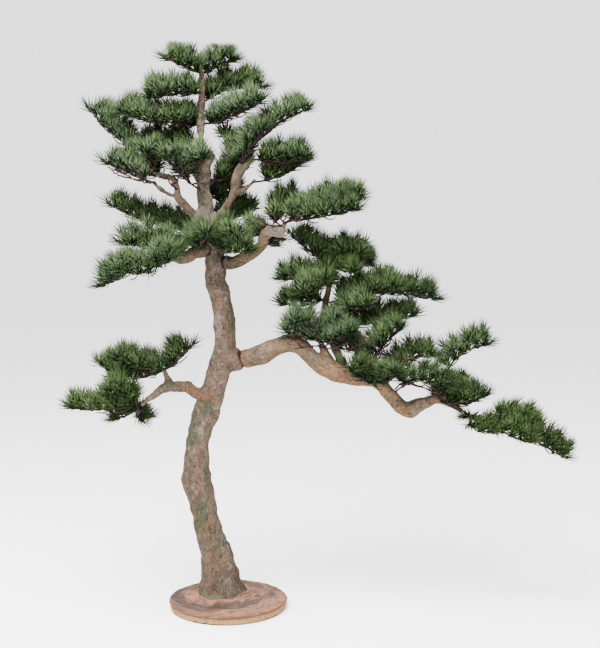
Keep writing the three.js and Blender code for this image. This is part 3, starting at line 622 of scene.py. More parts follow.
LOW_RIGHT = (
    (0.05, -0.008, 0.887, 0.032), (0.088, -0.014, 0.895, 0.034), (0.123, -0.02, 0.908, 0.035),
    (0.158, -0.026, 0.923, 0.034), (0.19, -0.032, 0.938, 0.032), (0.224, -0.038, 0.946, 0.03),
    (0.255, -0.044, 0.937, 0.028), (0.283, -0.05, 0.912, 0.029), (0.321, -0.056, 0.876, 0.031),
    (0.373, -0.06, 0.852, 0.035), (0.435, -0.062, 0.833, 0.029), (0.494, -0.062, 0.821, 0.024),
    (0.539, -0.06, 0.8, 0.022), (0.577, -0.058, 0.758, 0.025), (0.606, -0.056, 0.726, 0.027),
    (0.634, -0.054, 0.715, 0.029), (0.662, -0.05, 0.728, 0.026), (0.69, -0.046, 0.74, 0.022),
    (0.721, -0.042, 0.752, 0.017), (0.757, -0.038, 0.739, 0.011), (0.792, -0.036, 0.724, 0.01),
    (0.82, -0.034, 0.708, 0.009),
)
LOW_RIGHT_STUB = (
    (0.365, -0.059, 0.862, 0.026), (0.352, -0.052, 0.896, 0.017), (0.337, -0.046, 0.923, 0.013),
    (0.326, -0.042, 0.944, 0.012),
)
LOW_RIGHT_RISER = (
    (0.41, -0.056, 0.846, 0.021), (0.398, -0.03, 0.88, 0.017), (0.374, -0.006, 0.937, 0.016),
    (0.354, 0.012, 0.995, 0.015), (0.342, 0.026, 1.05, 0.014), (0.35, 0.036, 1.105, 0.012),
    (0.365, 0.044, 1.161, 0.011), (0.375, 0.052, 1.22, 0.009),
)
UP_RIGHT = (
    (0, -0.011, 1.226, 0.024), (0.024, -0.025, 1.224, 0.022), (0.049, -0.036, 1.234, 0.022),
    (0.077, -0.044, 1.251, 0.021), (0.108, -0.05, 1.267, 0.02), (0.128, -0.054, 1.291, 0.019),
    (0.133, -0.056, 1.318, 0.018), (0.155, -0.054, 1.334, 0.02), (0.18, -0.05, 1.332, 0.021),
    (0.201, -0.046, 1.325, 0.016),
)
UP_RIGHT_TWIG = (
    (0.182, -0.05, 1.33, 0.015), (0.197, -0.046, 1.352, 0.01), (0.209, -0.042, 1.366, 0.007),
)
UP_LEFT = (
    (-0.07, -0.038, 1.267, 0.023), (-0.087, -0.058, 1.264, 0.021), (-0.107, -0.082, 1.259, 0.021),
    (-0.126, -0.11, 1.244, 0.02), (-0.147, -0.14, 1.242, 0.02), (-0.17, -0.168, 1.258, 0.017),
    (-0.2, -0.196, 1.265, 0.013), (-0.236, -0.222, 1.266, 0.01),
)
WOOD = {
    "trunk": [TRUNK, LEADER, LEFT_LIMB, LEFT_FORK, CROWN_LEFT, CROWN_LEFT_FORK, CROWN_RIGHT,
              CROWN_RIGHT_ARM, CROWN_RIGHT_FORK],
    "limb_low_right": [LOW_RIGHT, LOW_RIGHT_STUB, LOW_RIGHT_RISER],
    "limb_up_right": [UP_RIGHT, UP_RIGHT_TWIG],
    "limb_up_left": [UP_LEFT],
}
WOOD = {host: [np.array(stations) for stations in paths] for host, paths in WOOD.items()}

# Swellings: height, angle from +X and how far each stands out
KNOBS = ((0.258, 3.1, 0.007), (0.692, -0.1, 0.008), (1.156, -2.9, 0.012), (1.59, 0, 0.012))

# Sockets that hold the limbs: the centre of a collar's mouth and the way the limb leaves it, the
# radii of the collar, the plug and the rubber sleeve, and the sleeve's length
Socket = namedtuple("Socket", "mouth toward collar plug sleeve length")
SOCKETS = {
    "low_right": Socket((0.049, -0.008, 0.887), (0.97, -0.14, 0.2), 0.038, 0.018, 0.031, 0.004),
    "up_right": Socket((-0.008, -0.008, 1.226), (0.89, -0.45, 0), 0.027, 0.013, 0.023, 0.007),
    "up_left": Socket((-0.066, -0.031, 1.267), (-0.55, -0.83, 0), 0.026, 0.012, 0.022, 0.007),
}
SOCKETS = {name: socket._replace(mouth=np.array(socket.mouth), toward=unit(np.array(socket.toward)))
           for name, socket in SOCKETS.items()}
# The air between a piece and its neighbour
GAP = 0.0003
print("wood:", {host: len(paths) for host, paths in WOOD.items()})


# %% Curves through stations
def read_off(at, walked, rows):
    """Rows of numbers along a path, read off at other lengths by straight lines between them."""
    return np.stack([np.interp(at, walked, column) for column in rows.T], axis=-1)


def evenly(points, count):
    """count points at equal steps along a row of points, by the length walked so far."""
    steps = np.linalg.norm(np.diff(points[:, :3], axis=0), axis=1)
    walked = np.concatenate([[0], np.cumsum(steps)])
    at = np.linspace(0, walked[-1], count)
    return read_off(at, walked, points), at


def through(stations, step):
    """A curve through all stations: between two of them it is the cubic that has, at each, half
    the difference of its neighbours as its slope. Its rows are step apart."""
    ends = np.concatenate([stations[:1], stations, stations[-1:]])
    before, start, stop, after = ends[:-3, None], ends[1:-2, None], ends[2:-1, None], ends[3:, None]
    t = np.linspace(0, 1, 16, endpoint=False)[None, :, None]
    slope, next_slope = (stop - before) / 2, (after - start) / 2
    cubic = ((2 * t**3 - 3 * t**2 + 1) * start + (t**3 - 2 * t**2 + t) * slope
             + (3 * t**2 - 2 * t**3) * stop + (t**3 - t**2) * next_slope)
    points = np.concatenate([cubic.reshape(-1, 4), stations[-1:]])
    length = np.linalg.norm(np.diff(points[:, :3], axis=0), axis=1).sum()
    return evenly(points, int(length / step) + 2)


# %% Flutes and swellings
def bell(away, width):
    """A bell-shaped bump: 1 at nought, about a third at width and nearly nothing at twice that."""
    return np.exp(-((away / width) ** 2))


def trunk_relief(angle, along, height, radius):
    """Share by which the trunk's radius grows: slow flutes that wind up it, toes that fade above
    the foot, narrow ridges, a fold that slants up from the foot's right side, and a bell-shaped
    swelling at each knob."""
    flutes = 0.055 * np.sin(3 * angle + along / 0.09)
    flutes = flutes + 0.045 * np.sin(5 * angle - along / 0.055 + 1)
    toes = 0.07 * np.exp(-along / 0.06) * np.sin(6 * angle + 0.6)
    ridges = 0.024 * np.sin(9 * angle + 2 * np.sin(along / 0.07))
    ridges = ridges + 0.018 * np.sin(14 * angle - 3 * np.sin(along / 0.11 + 1))
    fold = wrapped(angle + 0.25 + (height - 0.12) * 5)
    knobs = 0.17 * bell(fold, 0.2) * bell(height - 0.15, 0.08)
    for level, facing, proud in KNOBS:
        around = bell(wrapped(angle - facing), 0.45)
        knobs = knobs + proud / radius * bell(height - level, 0.026) * around
    return flutes + toes + ridges + knobs


def limb_relief(angle, along, height, radius):
    """Share by which a limb's radius grows: three and two flutes that wind round it, and knuckles
    where it was pruned."""
    flutes = 0.06 * np.sin(3 * angle + along / 0.028) + 0.04 * np.sin(2 * angle - along / 0.019)
    return flutes + 0.035 * np.sin(along / 0.012 + 1.5 * np.sin(angle + along / 0.05))


# %% Tubes of wood
def wood_tube(stations, relief, step, sides):
    """A fine tube through stations, with its relief, as points and faces."""
    path, along = through(stations, step)
    share = relief(angles(sides)[None], along[:, None], path[:, 2:3], path[:, 3:])
    return sweep(path[None, :, :3], path[:, 3:] * (1 + share), sides)


def bar(socket, spans):
    """A round bar on a socket's axis: rows of distance in front of the mouth and radius."""
    spans = np.array(spans)
    path = socket.mouth + socket.toward * spans[:, :1]
    return sweep(path[None], spans[:, 1], sides=48)


# %% Painted dabs
# Centre and size of each soft ball of paint
DABS = {
    "algae": [
        ((-0.1, -0.03, 0.31), (0.03, 0.05, 0.08)), ((-0.13, -0.01, 0.62), (0.035, 0.05, 0.09)),
        ((-0.07, -0.045, 0.745), (0.02, 0.03, 0.05)), ((-0.07, -0.03, 0.485), (0.018, 0.04, 0.06)),
        ((-0.05, -0.08, 0.18), (0.012, 0.04, 0.05)), ((0.02, -0.02, 1.02), (0.02, 0.05, 0.12)),
        ((0.085, -0.02, 0.865), (0.03, 0.05, 0.02)),
        ((-0.11, 0.05, 0.6), (0.06, 0.03, 0.15)), ((-0.03, 0.05, 1), (0.05, 0.03, 0.12)),
        ((-0.2, -0.03, 0.8), (0.03, 0.03, 0.02)), ((-0.08, -0.02, 1.44), (0.015, 0.03, 0.03)),
        ((0.62, -0.06, 0.75), (0.04, 0.05, 0.03)), ((0.21, -0.03, 0.965), (0.05, 0.05, 0.015)),
    ],
    "orange": [
        ((-0.09, -0.04, 0.765), (0.04, 0.04, 0.02)), ((-0.1, -0.05, 0.575), (0.02, 0.03, 0.03)),
        ((-0.065, -0.06, 0.33), (0.016, 0.04, 0.09)), ((-0.08, -0.06, 0.12), (0.02, 0.05, 0.04)),
        ((-0.06, -0.09, 0.06), (0.04, 0.05, 0.02)), ((0.06, -0.03, 0.87), (0.03, 0.05, 0.05)),
        ((0.38, -0.08, 0.83), (0.11, 0.06, 0.04)), ((0.5, -0.06, 0.79), (0.08, 0.06, 0.03)),
        ((0.6, -0.06, 0.71), (0.05, 0.05, 0.02)), ((-0.04, 0.07, 0.3), (0.04, 0.04, 0.08)),
        ((-0.1, 0.05, 0.8), (0.05, 0.04, 0.05)),
        ((-0.03, -0.04, 1.09), (0.015, 0.03, 0.03)), ((-0.12, -0.03, 0.78), (0.05, 0.05, 0.015)),
    ],
    # Painted shade: under the crown, down the foot's right side, on the trunk's left edge and under
    # the low right limb's pads
    "dark": [
        ((0.01, -0.06, 1.19), (0.06, 0.06, 0.05)), ((-0.07, -0.05, 1.23), (0.05, 0.06, 0.04)),
        ((0.032, -0.02, 0.17), (0.012, 0.06, 0.05)), ((0.052, -0.02, 0.11), (0.012, 0.06, 0.04)),
        ((0.01, -0.02, 0.24), (0.012, 0.05, 0.05)), ((-0.17, -0.02, 0.47), (0.012, 0.05, 0.06)),
        ((0.35, 0, 0.95), (0.04, 0.04, 0.02)), ((-0.03, -0.05, 1.17), (0.05, 0.06, 0.04)),
    ],
    # Rubbed places; the two large dabs at 1.45 and 1.64 m high are painted light that offsets the
    # pads' shade on the trunk's top and leader
    "pale": [
        ((-0.12, -0.05, 0.43), (0.015, 0.03, 0.02)), ((-0.13, -0.03, 0.58), (0.015, 0.03, 0.03)),
        ((-0.01, -0.06, 0.2), (0.014, 0.04, 0.03)), ((-0.06, -0.05, 0.66), (0.02, 0.02, 0.03)),
        ((0.14, -0.05, 0.93), (0.03, 0.03, 0.012)), ((-0.03, -0.03, 1), (0.012, 0.02, 0.05)),
        ((0.02, -0.07, 0.12), (0.02, 0.04, 0.07)), ((-0.06, -0.03, 1.45), (0.05, 0.05, 0.1)),
        ((-0.08, -0.02, 1.64), (0.04, 0.04, 0.12)),
        ((-0.03, -0.04, 0.69), (0.018, 0.03, 0.06)), ((-0.03, -0.04, 1.35), (0.03, 0.03, 0.05)),
        ((0.3, -0.05, 0.91), (0.03, 0.04, 0.02)), ((-0.14, 0.03, 0.5), (0.02, 0.03, 0.08)),
        ((-0.09, -0.05, 0.65), (0.02, 0.03, 0.06)), ((0.17, -0.06, 1.33), (0.04, 0.03, 0.03)),
    ],
}
DABS = {key: [np.array(place) for place in places] for key, places in DABS.items()}
print("painted dabs:", {key: len(places) for key, places in DABS.items()})

# %% [markdown]
# ## One skin
#
# A moulding has no seam where a branch leaves the trunk. Joining solids by a boolean would leave a
# sharp crease there. So the branches run into the trunk as loose tubes, a voxel skin finds the one
# surface round them all, and smoothing softens the joints. Such a skin is fine enough to be worked
# on. Each of its points moves along its normal by noise, which gives bulges, ribs and grooves.


# %% Noise and paint at points
WAVES = 40


def waves(points, size, stretch, seed):
    """Smooth noise about -1 to 1 as a sum of plane waves: each adds the sine of the point's
    distance along a random direction, in waves about size long, longer along stretched axes."""
    draw = np.random.default_rng(seed)
    directions = draw.normal(size=(3, WAVES)) / (size * np.array(stretch))[:, None]
    phases = draw.uniform(0, math.tau, WAVES)
    return np.sin(math.tau * 0.6 * points @ directions + phases).sum(axis=1) / math.sqrt(WAVES)


def dabs(points, places):
    """How strongly each point is painted: the most of the bells round the soft balls' centres,
    where the distance from a centre is counted in the ball's size, axis by axis."""
    strength = np.zeros(len(points))
    for centre, size in places:
        away = (((points - centre) / size) ** 2).sum(axis=1)
        strength = np.maximum(strength, np.exp(-away))
    return strength


# %% The skin
def one_skin(name, tubes, finish, voxel, stretch, depth):
    """Tubes that run into each other as one surface: a voxel grid finds their common outside, it
    is smoothed, and each point then moves along its normal by noise stretched along the wood."""
    loose = piece(name + "_loose", *join(tubes), finish)
    skin = loose.modifiers.new("skin", "REMESH")
    skin.mode = "VOXEL"
    skin.voxel_size = voxel
    loose.modifiers.new("soften", "SMOOTH").iterations = 2
    ready = loose.evaluated_get(bpy.context.evaluated_depsgraph_get())
    mesh = bpy.data.meshes.new_from_object(ready)
    mesh.name = name
    bpy.data.objects.remove(loose)
    weather(mesh, stretch, depth)
    return finished(name, mesh, finish)


def weather(mesh, stretch, depth):
    """Moves a mesh's points along their normals by broad bulges, by ribs that wind along the wood
    and by grooves where such waves pass through nought. Keeps the grooves and the painted dabs as
    attributes."""
    count = len(mesh.vertices)
    points, normals = np.empty((count, 3), np.float32), np.empty((count, 3), np.float32)
    mesh.vertices.foreach_get("co", points.ravel())
    mesh.vertex_normals.foreach_get("vector", normals.ravel())
    even = (1, 1, 1)
    sway = np.stack([waves(points, 0.07, even, seed) for seed in (7, 8, 9)], axis=1)
    winding = points + 0.005 * sway
    grooves = np.clip(1 - np.abs(waves(winding, 0.032, stretch, seed=3)) / 0.3, 0, 1)
    grooves = grooves * np.clip(0.6 + waves(points, 0.12, even, seed=4), 0, 1)
    ribs = np.abs(waves(winding, 0.019, stretch, seed=5)) - 0.8
    bulges = waves(points, 0.05, (1, 1, 1.3), seed=6)
    moved = points + normals * (depth * (bulges + 0.6 * ribs - 1.3 * grooves))[:, None]
    mesh.vertices.foreach_set("co", moved.astype(np.float32).ravel())
    painted = {key: dabs(points, places) for key, places in DABS.items()}
    give_attributes(mesh, {"groove": grooves} | painted)


# %% Keeping a piece
def keep(made, slot, *nodes):
    """The piece rides with the tree and stands for its CAD nodes, which it hides. slot is not used.
    """
    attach(made, "root")
    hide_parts(*nodes)
    print(f"{made.name}: {triangles(made)} triangles")


# %% [markdown]
# ## The trunk
#
# The trunk is the one big moulding. It narrows and bends twice, ends in a shoulder like a cut
# stump, and a thin leader goes on from it. Three flared collars stand out of it, ready for the
# limbs. They are short bars with a rounded rim that the skin melts into the trunk.


# %% Trunk
def longer(stations, more):
    """Stations with one beyond the last, because a voxel skin rounds the ends of thin tubes off."""
    step = stations[-1] - stations[-2]
    return np.vstack([stations, stations[-1] + step * more / np.linalg.norm(step[:3])])


main, *branches = WOOD["trunk"]
tubes = [wood_tube(main, trunk_relief, step=0.004, sides=96)]
tubes += [wood_tube(longer(stations, 0.008), limb_relief, step=0.003, sides=24)
          for stations in branches]
# Each collar starts inside the trunk and narrows to its rim. Rows of distance in front of the
# mouth and share of the collar's radius follow a first one that lies a radius behind the mouth
COLLAR = ((-0.012, 1.08), (-0.004, 1.02), (0, 0.93))
for socket in SOCKETS.values():
    rows = [(-socket.collar, 1.1), *COLLAR]
    tubes.append(bar(socket, [(ahead, share * socket.collar) for ahead, share in rows]))
trunk = one_skin("trunk_moulding", tubes, TRUNK_BARK, voxel=0.0054, stretch=(1, 1, 3),
                 depth=0.0028)
keep(trunk, "bark", "trunk")

# %% [markdown]
# ## The limbs
#
# Each limb has a shoulder that meets its rubber sleeve, and a plug that goes on through the sleeve
# into the collar. The part of the plug inside the collar never shows, so it stops at the mouth.


# %% Limbs
def limb(name, voxel):
    """A limb's tubes from its shoulder on, and the plug as far as its collar's mouth."""
    socket = SOCKETS[name]
    shoulder = socket.length + 2 * GAP
    stations, *rest = WOOD["limb_" + name]
    radius = stations[0, 3]
    root = [[*(socket.mouth + socket.toward * (shoulder + ahead)), radius * share]
            for ahead, share in ((0, 0.86), (0.003, 0.97), (0.008, 1))]
    later = (stations[:, :3] - socket.mouth) @ socket.toward > shoulder + 0.012
    first = np.concatenate([root, stations[later]])
    made = [wood_tube(first, limb_relief, step=0.003, sides=48)]
    made += [wood_tube(one, limb_relief, step=0.003, sides=32) for one in rest]
    made.append(bar(socket, [(GAP, socket.plug), (shoulder + 0.01, socket.plug)]))
    skin = one_skin("limb_moulding_" + name, made, LIMB_BARK, voxel, stretch=(2, 1.5, 1),
                    depth=0.0009)
    keep(skin, "bark", "limb_" + name)


for name, voxel in (("low_right", 0.0042), ("up_right", 0.0035), ("up_left", 0.0035)):
    limb(name, voxel)


# %% [markdown]
# ## Sleeves and tie wire
#
# A sleeve is a ring with rounded edges, so its section, a small rounded oblong, is carried round
# the socket's axis. The wire goes four times round the trunk's top and swings out to hold the tied
# stems. It is a tube along a curve whose radius has one bell-shaped bulge.


# %% Sleeves
def sleeve(name):
    """A ring round the socket's axis. Its section is a superellipse: cosine and sine, each to the
    power 0.4 with its sign."""
    socket = SOCKETS[name]
    turn, angle = angles(24), angles(64)
    wide, high = (np.sign(f) * np.abs(f) ** 0.4 for f in (np.cos(turn), np.sin(turn)))
    inner = socket.plug + GAP
    radius = (socket.sleeve + inner) / 2 + (socket.sleeve - inner) / 2 * wide
    ahead = GAP + socket.length / 2 * (1 + high)
    out = spokes(*across(socket.toward, (0, 0, 1)), angle)
    points = socket.mouth + socket.toward * ahead[:, None, None] + out * radius[:, None, None]
    quads = grid_quads(len(turn), len(angle), closed=True)
    keep(piece("rubber_sleeve_" + name, points.reshape(-1, 3), [quads], RUBBER),
         "rubber", "sleeve_" + name)


for name in SOCKETS:
    sleeve(name)

# %% Tie wire
TIE_AT = (-0.078, 0.004, 1.497)
TIE_TURNS = 4
WIRE_RADIUS = 0.0008
angle = np.linspace(0, TIE_TURNS * math.tau, TIE_TURNS * 56)
bulge = 0.022 * bell(wrapped(angle + 2.05), 0.55)
reach = 0.0312 + bulge + 0.0006 * np.sin(angle * 0.37)
rise = 0.003 * np.sin(angle) + 0.0016 * (angle / math.tau - TIE_TURNS / 2)
path = np.stack([reach * np.cos(angle), reach * np.sin(angle), rise], axis=1) + TIE_AT
wire = sweep(path[None], np.full((1, len(path)), WIRE_RADIUS), sides=8)
keep(piece("binding_wire", *wire, WIRE), "wire", "tie_wire")

# %% [markdown]
# ## The base
#
# The board is a thick disc with a rough sawn edge and one small notch at the front. The coat lies
# on it like trowelled clay: round at its rim and, at its inner edge, shaped by the trunk's foot. So
# each point of the coat lies between a point of the foot's outline and a point of the rim, and the
# trowel's rings run between the two without any extra work.

# %% Board
BOARD_HEIGHT = 0.022
BOARD_RADIUS = 0.2045
# Out to here the board is smooth underneath, and beyond it sawn and rough
SMOOTH_TO = 0.2
SECTORS = 256
NOTCH_AT = math.radians(-108)
angle = angles(SECTORS)[None]
levels = np.linspace(0, 1, 13)[1:-1] * BOARD_HEIGHT
wall = [(BOARD_RADIUS, level) for level in levels]
profile = np.array([(0.12, 0), (0.19, 0), (SMOOTH_TO, 0), *wall,
                    (0.202, BOARD_HEIGHT), (0.12, BOARD_HEIGHT)])
radius, level = profile[:, :1], profile[:, 1:]
disc = np.dstack([np.cos(angle) * radius, np.sin(angle) * radius, level + 0 * angle])
chips = waves(disc.reshape(-1, 3), 0.012, (1, 1, 0.6), seed=6).reshape(disc.shape[:2])
notch = bell(angle - math.tau - NOTCH_AT, 0.012)
edge = np.clip((radius - SMOOTH_TO) / 0.004, 0, 1)
depth = edge * (0.0004 * chips - 0.0004 - 0.004 * notch)
disc[..., :2] *= (1 + depth / SMOOTH_TO)[..., None]
board = piece("board_disc", disc.reshape(-1, 3), tube_faces(1, len(profile), SECTORS), BOARD)
keep(board, "board", "base_board")

# %% Coat
COAT_RADIUS = 0.209
COAT_THICKNESS = 0.0088
# The trunk's station at the coat's top, between its two lowest ones
TRUNK_AT_COAT = WOOD["trunk"][0][0] * 0.6 + WOOD["trunk"][0][1] * 0.4


def coat_outlines():
    """The coat's inner outline, which lies just inside the foot's own, and its wavy rim."""
    x, y, _, radius = TRUNK_AT_COAT
    around = np.stack([np.cos(angle), np.sin(angle)], axis=-1)
    foot = radius * (1 + trunk_relief(angle, 0.016, 0.034, radius)) - 0.003
    rim = COAT_RADIUS + 0.0006 * np.sin(7 * angle + 1) + 0.0004 * np.sin(23 * angle)
    return (x, y) + foot[..., None] * around, rim[..., None] * around


def coat():
    """A ring of rows from the foot's outline, over the top to the rim and back underneath. The
    top's height is the coat's thickness, a swell where it meets the foot and rings that fade."""
    inner, outer = coat_outlines()
    share = np.linspace(0, 1, 48)[:, None]
    flat = inner + share[..., None] * (outer - inner)
    away = np.linalg.norm(flat - inner, axis=-1)
    swell = 0.008 * bell(away, 0.014) + 0.005 * bell(away - 0.032, 0.013)
    swirl = away / 0.075 * math.tau + 0.7 * np.sin(angle + 0.5) + 0.4 * np.sin(2 * angle)
    rings = np.sin(swirl) * np.exp(-away / 0.25)
    # The purple-grey smears lie in a ring round the foot; the ring is painted stronger on the
    # front, as shade
    dark = bell(away - 0.075 - 0.015 * np.sin(2 * angle + 1), 0.03)
    dark = dark * (0.8 - 0.35 * np.sin(angle + 0.4)) + 0.12 * np.sin(away / 0.013 * math.tau)
    curled = np.dstack([0.1 * np.cos(angle) + 0 * away, 0.1 * np.sin(angle) + 0 * away, away])
    strokes = waves(curled.reshape(-1, 3), 0.011, (9, 9, 1), seed=9).reshape(away.shape)
    round_rim = np.clip((share - 0.96) / 0.04, 0, 1)
    top = COAT_THICKNESS + swell + 0.0016 * rings - 0.0035 * round_rim**2
    lumps = waves(np.dstack([flat, top]).reshape(-1, 3), 0.05, (1, 1, 1), seed=8).reshape(top.shape)
    top = BOARD_HEIGHT + top + 0.0005 * lumps + 0.0004 * strokes
    # Three more rows go round the rim and back to the foot underneath
    underneath = np.full((2, SECTORS), BOARD_HEIGHT + GAP)
    heights = np.concatenate([top, top[-1:] - 0.002, underneath])
    points = np.dstack([np.concatenate([flat, outer * 1.004, outer * 0.985, inner]), heights])
    more = ((0, 3), (0, 0))
    values = {"smear_and_shade": np.pad(0.2 + 0.55 * dark + 0.12 * lumps, more),
              "rim": np.pad(np.broadcast_to(round_rim, top.shape), more, constant_values=1)}
    curled = np.concatenate([curled, curled[-3:]])
    values |= {"curl_" + axis: curled[..., number] for number, axis in enumerate("xyz")}
    quads = grid_quads(len(points), SECTORS, closed=True)
    return piece("trowelled_coat", points.reshape(-1, 3), [quads], COAT, **values)


keep(coat(), "coat", "base_coat")

# %% [markdown]
# ## Boughs
#
# A bough is one or a few stems, wrapped in brown tape, that carry a pad of needles. Real pine pads
# are built from many short shoots, each a brush of long needles round its end, and these copy that.
# A particle system could scatter needles, but it would know nothing of shoots. So the rule here is
# the one that a maker of such trees follows: a stem turns a little at every node, each node bears
# two twigs to the sides and two upwards, and each of these ends in a brush. Leafless twigs run
# below them, where a pad is seen from underneath.

